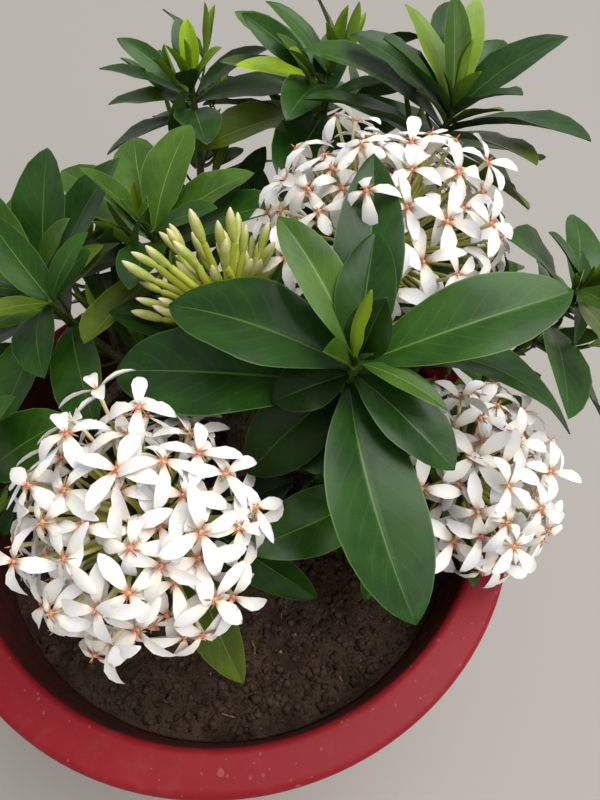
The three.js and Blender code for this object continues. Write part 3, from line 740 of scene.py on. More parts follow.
def bough_path(shoot):
    """A bough's bare part as a path, from its parent to where its leafy stem begins."""
    curve = curves[shoot.name]
    root = LIMB.root * (1 if shoot.parent == "trunk" else LIMB.branch)
    shares = [step / BOUGH_STEPS for step in range(BOUGH_STEPS + 1)]
    return [(curve.point(shoot.bare * share), lerp(root, LIMB.tip, share)) for share in shares]


bough_paths = [bough_path(shoot) for shoot in SHOOTS]
print(len(bough_paths), "boughs")

# %% Rings and skins
TRUNK_SIDES, TRUNK_STEPS, TRUNK_SUNK, LOBE_HEIGHT = 60, 24, 3, 0.3


def mesh_from(name, made):
    """A plain mesh from a working mesh, which is used up."""
    mesh = bpy.data.meshes.new(name)
    made.to_mesh(mesh)
    made.free()
    return mesh


def circle(sides):
    """The angles of points round a circle."""
    return [side / sides * 2 * pi for side in range(sides)]


def skin_rings(made, rings):
    """Faces between rings of points, and a cap on each end."""
    for low, high in zip(rings, rings[1:]):
        for side in range(len(low)):
            after = (side + 1) % len(low)
            made.faces.new((low[side], low[after], high[after], high[side]))
    made.faces.new(rings[0][::-1])
    made.faces.new(rings[-1])


# %% The trunk
def trunk_radius(share, angle):
    """The trunk's radius: it tapers, and swells into root lobes at the soil."""
    height = share * (TRUNK.top[2] - SOIL_LEVEL)
    swell = TRUNK.flare * max(0, 1 - height / TRUNK.flare_height) ** 2
    lobe = 1 + LOBE_HEIGHT * cos(TRUNK.lobes * angle)
    return lerp(TRUNK.foot_radius, TRUNK.top_radius, share) * (1 + swell * lobe)


def trunk_mesh():
    """The trunk as a closed stack of rings. The lowest ring is sunk a little into the soil."""
    curve = curves["trunk"]
    made = bmesh.new()
    rings = []
    for step in range(-1, TRUNK_STEPS + 1):
        share = max(0, step / TRUNK_STEPS)
        place = curve.frame(share)
        sunk = Vector((0, 0, -TRUNK_SUNK if step < 0 else 0))
        rings.append([
            made.verts.new((place.origin + sunk + trunk_radius(share, angle)
                            * (cos(angle) * place.east + sin(angle) * place.north)) * MM)
            for angle in circle(TRUNK_SIDES)
        ])
    skin_rings(made, rings)
    return mesh_from("trunk rings", made)


trunk = bpy.data.objects.new("trunk rings", trunk_mesh())
print("trunk rings", len(trunk.data.vertices), "points")

# %% A tree for the relief of the bark
bark_tree, given = new_tree(
    "Bark relief", {"Depth": "Float", "Crack Scale": "Float", "Stretch": "Float", "Material": "Material"}
)
here = value_from(bark_tree, "GeometryNodeInputPosition")
squeezed = vector_calc("MULTIPLY", here, combined(1.0, 1.0, given["Stretch"]))
lift = (noise_at(squeezed, given["Crack Scale"], 4.0, 0.62) - 0.5) * 2.0 * given["Depth"]
moved = value_from(
    bark_tree, "GeometryNodeSetPosition", 0,
    {"Geometry": given["Geometry"],
     "Offset": vector_calc("SCALE", value_from(bark_tree, "GeometryNodeInputNormal"), lift)},
)
end_tree(moved, given)

# %% [markdown]
# ### Bark, as a finish
# Thin bark is two close browns that drift into each other, with paler ridges where it has worn and
# darker cracks between them. Both come from one stretched noise, so the pale and the dark lie along
# the limb, and the same noise gives the fine relief that is too small for the mesh.

# %% Bark
FIBRE_STRETCH = (1, 1, 0.25)
bark, tree, shader = new_material("cracked bark", {"Roughness": 0.85, "Specular IOR Level": 0.25})
place = object_place(tree)
stretched = value_from(tree, "ShaderNodeMapping", 0, {"Vector": place, "Scale": FIBRE_STRETCH})
fibre = noise_at(stretched, 900.0, 5.0, 0.65)
browns = drifting(place, 130.0, 1.0, (0.1, 0.068, 0.04), (0.15, 0.115, 0.08))
worn = blend(step_between(fibre, 0.5, 0.7) * 0.6, browns, (0.23, 0.18, 0.14))
cracked = blend(step_between(fibre, 0.5, 0.34), worn, (0.035, 0.022, 0.014))
feed(shader.inputs["Base Color"], cracked)
bump(shader, fibre, 0.7, 0.6 * MM)

# %% The wood in one skin
VOXEL, BARK_DEPTH, CRACK_SCALE, CRACK_STRETCH = 0.75 * MM, 0.35 * MM, 420.0, 0.3


def joined(name, pieces, material):
    """One object from several, which are used up."""
    made = bmesh.new()
    for piece in pieces:
        made.from_mesh(piece.data)
        bpy.data.objects.remove(piece)
    whole = new_piece(name, mesh_from(name, made))
    one_material(whole.data, material)
    return whole


def apply_modifiers(piece):
    """Turns a piece with modifiers into its plain final mesh."""
    made = plain_mesh(piece)
    piece.modifiers.clear()
    piece.data = made


def smooth_shaded(mesh):
    """Smooth shading all over a mesh."""
    mesh.polygons.foreach_set("use_smooth", [True] * len(mesh.polygons))


skin = joined("wood skin", [trunk, tubes_along("boughs", bough_paths, 20, bark)], bark)
remesh = skin.modifiers.new("one skin", "REMESH")
remesh.mode, remesh.voxel_size = "VOXEL", VOXEL
relax = skin.modifiers.new("soft forks", "SMOOTH")
relax.factor, relax.iterations = 0.5, 6
apply_modifiers(skin)
wood = run_tree(
    "wood", skin.data, bark_tree,
    {"Depth": BARK_DEPTH, "Crack Scale": CRACK_SCALE, "Stretch": CRACK_STRETCH, "Material": bark},
)
bpy.data.objects.remove(skin)
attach(wood, "root")
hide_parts("trunk", *["bough_" + shoot.name for shoot in SHOOTS])

# %% [markdown]
# ## Green stems
# Above its bare wood every shoot goes on as a green stem that thins towards its tip, and side twigs
# leave it. A stem swells a little at each pair of leaves. The same tree of tubes draws them all, because
# they only differ in their paths and radii.

# %% The paths of the stems, twigs and stalks
STEM_STEPS, TWIG_STEPS, STALK_STEPS = 26, 12, 6
NODE_SWELL, NODE_REACH, FAR_AWAY = 0.22, 2.2, 100
STEM_SUNK, STALK_SUNK = 0.97, 0.01


def stem_end(shoot):
    """The share of a shoot's curve where its leafy stem ends."""
    return 1 - STALK / curves[shoot.name].length if shoot.blossom else 1


def swelling(point, shoot):
    """How much thicker a stem is at a point, near the roots of its shoot's leaves."""
    knots = [leaf.root for leaf in leaves if leaf.shoot == shoot.name]
    nearest = min(((point - knot).length for knot in knots), default=FAR_AWAY)
    return 1 + NODE_SWELL * exp(-((nearest / NODE_REACH) ** 2))


def stem_paths(shoot):
    """A shoot's leafy stem, and its stalk where it is in blossom."""
    curve = curves[shoot.name]
    end = stem_end(shoot)
    path = []
    for step in range(STEM_STEPS + 1):
        share = step / STEM_STEPS
        point = curve.point(lerp(shoot.bare * STEM_SUNK, end, share))
        path.append((point, lerp(LIMB.tip, STEM_TIP, share) * swelling(point, shoot)))
    stalk = [(curve.point(lerp(end - STALK_SUNK, 1, step / STALK_STEPS)), STEM_TIP)
             for step in range(STALK_STEPS + 1)]
    return [path, stalk] if end < 1 else [path]


def twig_path(shoot, curve):
    """A side twig as a path."""
    path = path_along(curve, TWIG_STEPS, lambda share: lerp(TWIG.radius, TWIG.tip, share))
    return [(point, radius * swelling(point, shoot)) for point, radius in path]


green_paths = [path for shoot in SHOOTS for path in stem_paths(shoot)]
green_paths += [twig_path(shoot, curve) for shoot, curve in twigs]
print(len(green_paths), "green stems")

# %% [markdown]
# ### The finish of green stems
# A young stem is smooth and waxy, yellow-green, with a browner skin where it is older and faint pale
# dots. The tree of tubes leaves a number along each path, so the brown can lie at the older end.

# %% Stem finish
def share_along(tree):
    """How far along its path a point of a tube is, from 0 to 1."""
    return value_from(tree, "ShaderNodeAttribute", "Fac", attribute_name="along")


stem_skin, tree, shader = new_material("stem skin", {"Roughness": 0.55, "Specular IOR Level": 0.2})
place = object_place(tree)
greens = drifting(place, 160.0, 0.8, (0.05, 0.085, 0.01), (0.032, 0.058, 0.008))
aged = blend(step_between(share_along(tree), 0.4, 0.0) * 0.8, greens, (0.1, 0.075, 0.035))
dots = dots_at(place, 900.0)
feed(shader.inputs["Base Color"], blend(step_between(dots, 0.22, 0.12), aged, (0.22, 0.24, 0.1)))
bump(shader, dots, 0.25, 0.3 * MM)

# %% [markdown]
# ## Leaves
# A leaf of this shrub is stiff and glossy, widest a little beyond its middle, with a short stalk and a
# blunt point. It is folded along the midrib, arches back, and its edges wave a little. One template, a
# thin closed blade laid out flat, is enough for all of them: a node tree sets it at each leaf's root
# and bends, folds and waves it by numbers that each leaf carries. The few leaves at the front get a
# finer template, because they are seen from close by.

# %% The flat template of a leaf
LEAF_OUTLINE = (
    (0.0, 0.09), (0.04, 0.13), (0.1, 0.31), (0.2, 0.6), (0.3, 0.81), (0.4, 0.94), (0.5, 1.0),
    (0.6, 0.99), (0.7, 0.91), (0.8, 0.75), (0.88, 0.55), (0.94, 0.34), (0.98, 0.14), (1.0, 0.02),
)
UPPER_SHIFT, UNDER_SHIFT = 1, -2


def outline_at(outline, share):
    """The share of the half width at a share of the length."""
    return float(np.interp(share, *zip(*outline)))


def mapped_face(made, corners, places):
    """A face whose corners have the given places on the map."""
    chart = made.loops.layers.uv.verify()
    for loop, place in zip(made.faces.new(corners).loops, places):
        loop[chart].uv = place


def blade_template(name, shares, top, under):
    """A closed blade: x across from -1 to 1, y along from 0 to 1, z the side that it is on.
    Its map holds 0 to 2 across for the upper side and -3 to -1 for the under side."""
    made = bmesh.new()
    rings = []
    for share in shares:
        half = outline_at(LEAF_OUTLINE, share)
        upper = [made.verts.new((half * c, share, 0 if abs(c) == 1 else 1)) for c in top]
        lower = [made.verts.new((half * c, share, -1)) for c in under]
        rings.append((upper, [upper[-1]] + lower + [upper[0]]))
    sheets = ((0, top, UPPER_SHIFT), (1, (1, *under, -1), UNDER_SHIFT))
    for low, high, share, after in zip(rings, rings[1:], shares, shares[1:]):
        for side, across, shift in sheets:
            for column, (left, right) in enumerate(zip(across, across[1:])):
                corners = (*low[side][column:column + 2], *high[side][column:column + 2][::-1])
                left, right = left + shift, right + shift
                mapped_face(made, corners, ((left, share), (right, share), (right, after), (left, after)))
        for end in (0, -1):
            made.edges.get((low[0][end], high[0][end])).smooth = False
    foot, point = [ring[0] + ring[1][1:-1] for ring in (rings[0], rings[-1])]
    made.faces.new(foot[::-1])
    made.faces.new(point)
    return bpy.data.objects.new(name, mesh_from(name, made))


# %% A plain and a fine leaf
plain_leaf = blade_template(
    "plain leaf", (0, 0.07, 0.17, 0.32, 0.48, 0.63, 0.77, 0.88, 0.96, 1.0), (-1, -0.5, 0, 0.5, 1), (0,)
)
fine_leaf = blade_template(
    "fine leaf", [1 - (1 - step / 20) ** 1.15 for step in range(21)],
    (-1, -0.8, -0.5, -0.12, 0, 0.12, 0.5, 0.8, 1), (0.5, 0, -0.5),
)
print("plain leaf", len(plain_leaf.data.polygons), "faces, fine leaf", len(fine_leaf.data.polygons))

# %% The tree that sets and bends the leaves
LEAF_WAYS = ("root", "forth", "up")
LEAF_NUMBERS = ("length", "half", "fold", "bend", "bow", "taper", "wave", "ripples", "phase", "twist")


def sine(angle):
    """The sine of an angle inside a tree."""
    return calc("SINE", angle)


def cosine(angle):
    """The cosine of an angle inside a tree."""
    return calc("COSINE", angle)


leaf_tree, given = new_tree(
    "Leaves", {"Template": "Object", "Thickness": "Float", "Rib": "Float", "Material": "Material"}
)
template = value_from(leaf_tree, "GeometryNodeObjectInfo", "Geometry", {"Object": given["Template"]})
stamped = value_from(
    leaf_tree, "GeometryNodeInstanceOnPoints", 0, {"Points": given["Geometry"], "Instance": template}
)
real = value_from(leaf_tree, "GeometryNodeRealizeInstances", 0, {"Geometry": stamped})
root, forth_way, up_way = [attribute(leaf_tree, name, "FLOAT_VECTOR") for name in LEAF_WAYS]
length, half, fold, bend, bow, taper, wave, ripples, phase, twist = [
    attribute(leaf_tree, name) for name in LEAF_NUMBERS
]
here = value_from(leaf_tree, "GeometryNodeInputPosition")
across, share, sheet = parts_of(vector_calc("SUBTRACT", here, root))
out = abs(across)

# %% How a leaf bends, folds and ripples
# A tapered leaf is wider below its middle and narrower above it.
half = half * (1.0 + taper * (0.5 - share))
# The midrib is an arc. Its slope falls along the leaf, and forth and rise are the place on it.
half_bend = bend * 0.5
slope = half_bend - bend * share
forth = length / bend * (sine(half_bend) - sine(slope))
rise = length / bend * (cosine(slope) - cosine(half_bend))
side_way = vector_calc("CROSS_PRODUCT", up_way, forth_way)
normal_way = vector_calc(
    "SUBTRACT", vector_calc("SCALE", up_way, cosine(slope)), vector_calc("SCALE", forth_way, sine(slope))
)
# A bowed leaf swings to one side in its middle.
sideways = bow * length * share * (1.0 - share) * 4.0 + across * half * cosine(fold)
# The blade's cross section is a rounded fold: steep beside the midrib, flatter at the edge.
folded = out * (1.25 - out * 0.25) * half * sine(fold)
# The edges ripple, and the whole blade twists a little towards its point.
rippled = sine(share * ripples + calc("SIGN", across) * phase) * out * out * wave * half
twisted = across * half * twist * share
# The midrib stands out below and grows finer towards the point.
near_rib = (1.0 - calc("MINIMUM", out, 1.0)) ** 6.0
rib = calc("MINIMUM", sheet, 0.0) * near_rib * given["Rib"] * (1.15 - share)
lift = folded + rippled + twisted + rib + sheet * given["Thickness"] * 0.5
spot = root
for way, amount in ((forth_way, forth), (up_way, rise), (side_way, sideways), (normal_way, lift)):
    spot = vector_calc("ADD", spot, vector_calc("SCALE", way, amount))
bent = value_from(leaf_tree, "GeometryNodeSetPosition", 0, {"Geometry": real, "Position": spot})
end_tree(bent, given)

# %% [markdown]
# ### The finish of leaves
# The upper side is a deep, glossy green with a pale midrib, a thin yellow-green margin and faint side
# veins that slant towards the point. The under side is paler and duller. All of that follows the leaf,
# so the veins are a group that reads the leaf's own map. How green a leaf is depends on its age and its
# place. Each of the seven tones is a finish of its own: deep on old leaves, yellow on leaves that turn,
# and brighter the younger a leaf is. One tone is painted shade, a darker green for low leaves in the
# crown's shadow, and the brightest young green is lifted further by painted light through the blade.

# %% The group that draws a leaf's veins
vein_group, given, put_out = new_group(
    "Leaf veins",
    {"Map": ("Vector", None), "Side Veins": ("Float", 9.0), "Slant": ("Float", 0.2),
     "Rib Width": ("Float", 0.03), "Margin Width": ("Float", 0.03)},
    {"Rib": "Float", "Veins": "Float", "Margin": "Float", "Under": "Float", "Relief": "Float"},
)
u, v, _ = parts_of(given["Map"])
under = calc("LESS_THAN", u, -0.5)
out = abs(under * (UPPER_SHIFT - UNDER_SHIFT) + u - UPPER_SHIFT)
rib_width = given["Rib Width"] * (1.25 - v)
rib = step_between(out, rib_width * 1.6, rib_width * 0.6)
rung = v - out * given["Slant"] - out * out * 0.07
off = abs(calc("FRACT", rung * given["Side Veins"]) - 0.5)
veins = step_between(off, 0.1, 0.02) * step_between(out, 0.98, 0.55)
margin = step_between(out, 1.0 - given["Margin Width"] * 1.5, 1.0 - given["Margin Width"] * 0.4)
relief = step_between(off, 0.0, 0.5) * 0.12 - rib
for label, value in (("Rib", rib), ("Veins", veins), ("Margin", margin), ("Under", under),
                     ("Relief", relief)):
    feed(put_out[label], value)

# %% The finishes of leaves
# Each tone has the two greens that drift, the paler green of its ribs, a roughness and a gloss.
Tone = namedtuple("Tone", "deep light rib rough gloss")
LEAF_TONES = {
    # The shaded tone is painted shade: a darker green for low leaves in the crown's shadow.
    "shaded": Tone((0.005, 0.015, 0.002), (0.009, 0.026, 0.003), (0.03, 0.06, 0.01), 0.42, 0.06),
    "old": Tone((0.009, 0.036, 0.004), (0.017, 0.06, 0.006), (0.075, 0.15, 0.02), 0.34, 0.2),
    "full": Tone((0.014, 0.054, 0.004), (0.028, 0.088, 0.006), (0.11, 0.2, 0.028), 0.34, 0.2),
    "turning": Tone((0.048, 0.078, 0.004), (0.072, 0.11, 0.006), (0.17, 0.22, 0.04), 0.36, 0.22),
    "fresh": Tone((0.032, 0.082, 0.006), (0.056, 0.125, 0.01), (0.17, 0.26, 0.04), 0.36, 0.22),
    "young": Tone((0.125, 0.215, 0.008), (0.18, 0.3, 0.012), (0.27, 0.37, 0.06), 0.38, 0.2),
    # The next tone is a pale young green, lifted further by painted light shining through the blade.
    "tender": Tone((0.24, 0.39, 0.003), (0.34, 0.53, 0.005), (0.45, 0.6, 0.08), 0.4, 0.2),
}
UNDER_GREEN, UNDER_SHARE = (0.06, 0.1, 0.025), 0.4


def leaf_finish(name, tone):
    """The finish of the leaves of one tone."""
    material, tree, shader = new_material(name, {"Specular IOR Level": tone.gloss, "Coat Roughness": 0.2})
    place = object_place(tree)
    marks = place_group(tree, vein_group, {"Map": value_from(tree, "ShaderNodeUVMap")})
    pale = [lerp(light, other, UNDER_SHARE) for light, other in zip(tone.light, UNDER_GREEN)]
    specks = step_between(dots_at(place, 520.0), 0.13, 0.07)
    colour = drifting(place, 55.0, 0.9, tone.deep, tone.light)
    for share, over in ((marks["Veins"] * 0.1, tone.rib), (specks * 0.35, tone.rib),
                        (marks["Under"] * 0.75, pale), (marks["Margin"] * 0.7, tone.rib),
                        (marks["Rib"] * 0.85, tone.rib)):
        colour = blend(share, colour, over)
    feed(shader.inputs["Base Color"], colour)
    grain = noise_at(place, 260.0, 3.0)
    feed(shader.inputs["Roughness"], grain * 0.16 + (tone.rough - 0.08) + marks["Under"] * 0.3)
    feed(shader.inputs["Coat Weight"], 0.05 - marks["Under"] * 0.05)
    bump(shader, grain * 0.35 + marks["Relief"], 0.3, 0.3 * MM)
    return material


leaf_finishes = {tone: leaf_finish(tone + " leaf", values) for tone, values in LEAF_TONES.items()}

# %% [markdown]
# ### Finer shoots between the leaves
# The solid model stops at its twigs, because its faces are counted. On the plant, small shoots with a
# pair or two of little leaves also stand in the angles between leaf and stem. They follow the same rule
# of pairs with smaller numbers, and one grows only where it stays clear of every leaf, flower and limb
# of the solid model, so the crown keeps its outline and its gaps. Three tiny leaves close the tip of
# each shoot that doesn't flower.

# %% Room for a sprout
SPROUT = Sizes(
    length=12, radius=0.7, leaf=32, full=1.35, open=50, open_range=20, arch=20, clear=1.0, count=18,
    rear=1.35, steps=6, turn_range=60, least=0.7, range=0.5, short=0.7, long=0.7, first=0.7, last=0.04
)
sprout_draw = random_from(101)
obstacles = [surface_of(node) for node in frame["nodes"]]
own_blades = []


def clear_of_all(points, least):
    """Whether points in millimetres keep their distance from every solid and from earlier sprouts."""
    return all(
        all(distance_to(surface, point) >= least for surface in obstacles)
        and all((point - other).length >= 2 * least for other in own_blades)
        for point in points
    )


def blade_samples(leaf):
    """Points over a blade, for the room that it needs."""
    return [on_blade(leaf, share, across) for share in (0.4, 0.6, 0.8, 1.0)
            for across in (-0.8, 0, 0.8) if share < 1 or across == 0]


def sprout_at(shoot, place, turned, size):
    """A small side shoot with one or two pairs of little leaves, where there is room for it."""
    opening = SPROUT.open + SPROUT.open_range * (sprout_draw() - 0.5)
    length = SPROUT.length * (SPROUT.short + SPROUT.long * sprout_draw()) * size
    tip = place.origin + length * outward(place, turned, opening)
    elbow = place.origin + length / 2 * outward(place, turned, opening + SPROUT.arch)
    path = Curve(place.origin, elbow, tip)
    if not clear_of_all([path.point(0.6), tip], SPROUT.clear):
        return None
    rows = paired_leaves(2, 0, SPROUT.leaf * size, turned, 0, sprout_draw)
    made = [leaf_at(shoot.name, 0, path.frame(1), turn_here, open_here,
                    leaf_length * SPROUT.full, width * SPROUT.full)
            for turn_here, open_here, leaf_length, width, _ in rows]
    made = [leaf for leaf in made if clear_of_all(blade_samples(leaf), SPROUT.clear)]
    return (path, made) if len(made) > 1 else None


# %% Sprouts and closing leaves
BARE_TOPS = {"centre": 0.6}
REAR_LINE = 40
CLOSING = Sizes(count=3, turn_range=50, least=10, range=8, open=12, open_range=22, width=0.34)
sprouts, sprout_leaves = [], []
for shoot in SHOOTS:
    curve = curves[shoot.name]
    rear = SPROUT.rear if shoot.tip[1] > REAR_LINE else 1
    for step in range(SPROUT.count):
        first, last = shoot.bare * SPROUT.first, stem_end(shoot) - SPROUT.last
        share = lerp(first, last, step / (SPROUT.count - 1))
        turned = step * GOLDEN_TURN + SPROUT.turn_range * sprout_draw()
        size = rear * (SPROUT.least + SPROUT.range * sprout_draw())
        if share > BARE_TOPS.get(shoot.name, 1):
            continue
        found = sprout_at(shoot, curve.frame(share), turned, size)
        if found:
            sprouts.append(found[0])
            sprout_leaves += found[1]
            own_blades += [point for leaf in found[1] for point in blade_samples(leaf)[:3]]
for shoot in SHOOTS:
    if shoot.blossom:
        continue
    end = curves[shoot.name].frame(1)
    for number in range(CLOSING.count):
        turned = 360 / CLOSING.count * number + CLOSING.turn_range * sprout_draw()
        opening = CLOSING.open + CLOSING.open_range * sprout_draw()
        long = CLOSING.least + CLOSING.range * sprout_draw()
        sprout_leaves.append(leaf_at(shoot.name, 0, end, turned, opening, long, CLOSING.width * long))
green_paths += [
    path_along(curve, SPROUT.steps, lambda share: SPROUT.radius * lerp(1.2, 0.8, share))
    for curve in sprouts
]
print(len(sprouts), "sprouts with", len(sprout_leaves), "little leaves")

# %% [markdown]
# ### The tone and the form of each leaf
# A leaf that the solid model places by the rule gets its tone from how open it is, because the leaves
# open as they age. Of the listed leaves, some are younger, darker or yellower than that, low ones carry
# painted shade and a few young ones painted light through the blade, and a few are arched, bowed,
# rolled or tapered in their own way. Three tables hold what is special about them.

# %% The tone of a leaf
LISTED_TONES = {
    "turning": {"front": (1,), "rear": (1, 3), "far_back": (11,), "back": (5,), "left": (6,)},
    # Painted shade: low leaves in the crown's shadow take the shaded tone.
    "shaded": {"centre": (14, 15), "front": (4,), "buds": (2,)},
    # Partly painted light: these young leaves take a green lifted by light shining through the blade.
    "tender": {"centre": (12,), "rear": (4,), "rear_left": (1, 2)},
    "old": {"centre": (2, 3, 5, 8, 11), "far_back": (3, 12), "left": (1,)},
    "young": {"far_back": (4, 5, 8, 9, 10), "rear_left": (3,), "left": (4, 5)},
    "fresh": {"centre": (4, 9, 13), "back": (1, 2, 3, 4, 6), "rear_left": (4, 5), "rear": (2,)},
}
AGES = Sizes(
    young_open=24, fresh_open=40, fresh_range=14, fresh_length=26, old_share=0.45, turning=(0.86, 0.94)
)


def tone_of(leaf, draw):
    """The tone of a leaf: from the table, or else by how open and how long it is."""
    for tone, listed in LISTED_TONES.items():
        if leaf.listed in listed.get(leaf.shoot, ()):
            return tone
    if not leaf.listed and AGES.turning[0] < draw < AGES.turning[1]:
        return "turning"
    if leaf.open < AGES.young_open:
        return "young"
    if leaf.open < AGES.fresh_open + AGES.fresh_range * draw or leaf.length < AGES.fresh_length:
        return "fresh"
    return "old" if draw < AGES.old_share else "full"


# %% The form of a leaf
LISTED_FORMS = {
    ("centre", 1): {"bow": -0.07},
    ("centre", 2): {"taper": 0.15},
    ("centre", 4): {"taper": -0.1},
    ("centre", 5): {"taper": 0.5, "roll": -15},
    ("centre", 6): {"taper": 0.35, "roll": -12},
    ("centre", 8): {"bow": 0.11, "roll": -28, "arch": 3.0},
}
# The youngest leaves at the centre's tip stand a little differently from their solids:
# turn, opening, length, width, drop below the tip, fold and bend. A negative bend curls inwards.
YOUNGEST = {
    ("centre", 11): (52, 7, 29, 17, 3, 26, 5),
    ("centre", 12): (172, 6, 37, 7, 3, 62, -30),
    ("centre", 13): (188, 44, 20, 13, 7, 34, -14),
}
CHANCES = {"wave": (0.03, 0.1), "ripples": (9.0, 15.0), "phase": (0.0, 6.28), "twist": (-0.22, 0.22)}


def form_of(leaf, quality, usual):
    """A quality of a listed leaf's form, or else the usual one."""
    return LISTED_FORMS.get((leaf.shoot, leaf.listed), {}).get(quality, usual)


def rolled_up(leaf):
    """A leaf's upward direction, rolled about its own length."""
    return Matrix.Rotation(radians(form_of(leaf, "roll", 0)), 3, leaf.along) @ leaf.up


def restyled(leaf):
    """A leaf as it is, or as the table of the youngest has it."""
    if (leaf.shoot, leaf.listed) not in YOUNGEST:
        return leaf
    turned, opening, long, wide, drop, fold, bend = YOUNGEST[leaf.shoot, leaf.listed]
    curve = curves[leaf.shoot]
    place = curve.frame(1 - drop / curve.length)
    closer = leaf_at(leaf.shoot, leaf.listed, place, turned, opening, long, wide)
    return closer._replace(fold=radians(fold), bend=radians(bend))


# %% Points that carry the numbers of the leaves
def leaf_points(name, chosen, draw):
    """A mesh of loose points that carry the numbers of one leaf each."""
    roots = [leaf.root * MM for leaf in chosen]
    mesh = bpy.data.meshes.new(name)
    mesh.from_pydata(roots, [], [])
    columns = {
        "root": roots,
        "forth": [leaf.along for leaf in chosen],
        "up": [rolled_up(leaf) for leaf in chosen],
        "length": [leaf.length * MM for leaf in chosen],
        "half": [leaf.width / 2 * MM for leaf in chosen],
        "fold": [leaf.fold for leaf in chosen],
        "bend": [leaf.bend * form_of(leaf, "arch", lerp(0.8, 1.5, draw())) for leaf in chosen],
        "bow": [form_of(leaf, "bow", lerp(-0.035, 0.035, draw())) for leaf in chosen],
        "taper": [form_of(leaf, "taper", lerp(-0.12, 0.22, draw())) for leaf in chosen],
    }
    for label, (low, high) in CHANCES.items():
        columns[label] = [lerp(low, high, draw()) for _ in chosen]
    store(mesh, columns)
    return mesh


# %% The leaves of each tone
LEAF_THICKNESS, RIB_HEIGHT = 0.4 * MM, 0.55 * MM
CLOSE_SHOOTS = ("centre", "front", "low_front", "buds")
foliage_nodes = ["foliage_" + shoot.name for shoot in SHOOTS]
leaf_draw = random_from(202)
sorted_leaves = {(tone, close): [] for tone in LEAF_TONES for close in (True, False)}
for leaf in [restyled(leaf) for leaf in leaves] + sprout_leaves:
    close = leaf.listed > 0 and leaf.shoot in CLOSE_SHOOTS
    sorted_leaves[tone_of(leaf, leaf_draw()), close].append(leaf)
leaf_pieces = []
for tone in LEAF_TONES:
    parts = []
    for close, template in ((True, fine_leaf), (False, plain_leaf)):
        chosen = sorted_leaves[tone, close]
        if chosen:
            parts.append(run_tree(
                tone + " leaves", leaf_points(tone + " leaf points", chosen, leaf_draw), leaf_tree,
                {"Template": template, "Thickness": LEAF_THICKNESS, "Rib": RIB_HEIGHT,
                 "Material": leaf_finishes[tone]},
            ))
    leaf_pieces.append(joined("leaves_" + tone, parts, leaf_finishes[tone]))
    smooth_shaded(leaf_pieces[-1].data)
print(len(leaves) + len(sprout_leaves), "leaves in", len(leaf_pieces), "tones")

# %% The green stems
stems = tubes_along("green_stems", green_paths, 12, stem_skin)
for piece in (*leaf_pieces, stems):
    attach(piece, "root")
    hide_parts(*foliage_nodes)

# %% [markdown]
# ## Flower heads
# A head is a dome of some sixty to eighty stars. Each star stands on a thin tube, the tubes spring from
# short branches, and the branches from the tip of the stalk. The solid model has fewer and a little
# larger ones, so here the same golden turn runs with a larger count over the same cap. A star that
# would cut into a leaf moves in or out along its tube, and is left out where it has no room at all.

# %% Where the flowers stand
FLOWER = Sizes(
    petal=13.3, clear=0.8, lean=26, stray=9, rise=0.4, share=2.7, size=(0.9, 1.12), reach=(0.82, 1.1),
    outer=1.1, branches=6, each=6, branch_cap=0.85
)
FLOWER_DEPTHS = (0, 0.07, -0.07, -0.14, 0.12, -0.22)
Flower = namedtuple("Flower", "hub centre facing spin size branch")


def tree_over(pieces):
    """A search tree over the surfaces of some pieces, in metres."""
    made = bmesh.new()
    for piece in pieces:
        made.from_mesh(piece.data)
    tree = BVHTree.FromBMesh(made)
    made.free()
    return tree


def cap_directions(place, count, cap):
    """Directions spread evenly over a cap round an axis, by the golden turn."""
    return [outward(place, index * GOLDEN_TURN, cap * sqrt((index + 0.5) / count))
            for index in range(count)]


def leaned(direction, degrees, draw):
    """A direction tilted by up to so many degrees, any way."""
    aside = direction.orthogonal().normalized()
    aside.rotate(Matrix.Rotation(2 * pi * draw(), 3, direction))
    return (direction + tan(radians(degrees)) * draw() * aside).normalized()


def star_room(surface, centre, facing, reach):
    """How near a star of petals comes to a surface."""
    across = facing.orthogonal().normalized()
    third = facing.cross(across)
    spots = [centre, centre - 3 * facing, centre - 8 * facing]
    for angle in circle(12):
        spoke = cos(angle) * across + sin(angle) * third
        spots += [centre + reach * part * spoke for part in (0.45, 0.75, 1.0)]
        spots.append(centre + reach * (0.9 * spoke + 0.3 * facing))
    return min(distance_to(surface, spot) for spot in spots)


# %% The flowers of each head
def nearest_of(direction, others):
    """The one of some directions that is nearest to a direction."""
    return max(others, key=direction.dot)


def flowers_of(shoot, surface, draw):
    """The flowers of one head."""
    place = curves[shoot.name].frame(1)
    hub, count = place.origin, round(shoot.count * FLOWER.share)
    branch_count = max(FLOWER.branches, count // FLOWER.each)
    branches = cap_directions(place, branch_count, shoot.cap * FLOWER.branch_cap)
    found = []
    for direction in cap_directions(place, count, shoot.cap):
        way = leaned(direction, FLOWER.stray, draw)
        facing = leaned((way + FLOWER.rise * Vector((0, 0, 1))).normalized(), FLOWER.lean, draw)
        spin, size = 2 * pi * draw(), lerp(*FLOWER.size, draw())
        reach = shoot.spread * lerp(*FLOWER.reach, draw())
        for depth in FLOWER_DEPTHS:
            centre = hub + reach * (1 + depth) * way
            if star_room(surface, centre, facing, FLOWER.petal * FLOWER.outer * size) > FLOWER.clear:
                branch = shoot.spread * nearest_of(way, branches)
                found.append(Flower(hub, centre, facing, spin, size, branch))
                break
    return found


leaf_surface = tree_over(leaf_pieces + [stems, wood])
flower_draw = random_from(303)
flowers = []
for shoot in heads:
    if shoot.blossom == "open":
        found = flowers_of(shoot, leaf_surface, flower_draw)
        flowers += found
        print(shoot.name, len(found), "flowers")
print(len(flowers), "flowers in all")

# %% [markdown]
# ### Petals
# A petal is narrow at its foot, wide in its middle and ends in a soft point, and a star has four of
# them. Some stars lie flat, some cup upward and some bend back, so there are several templates, each
# with small differences from petal to petal. A node tree stamps a template, picked by a number, at each
# flower and turns it to face out.

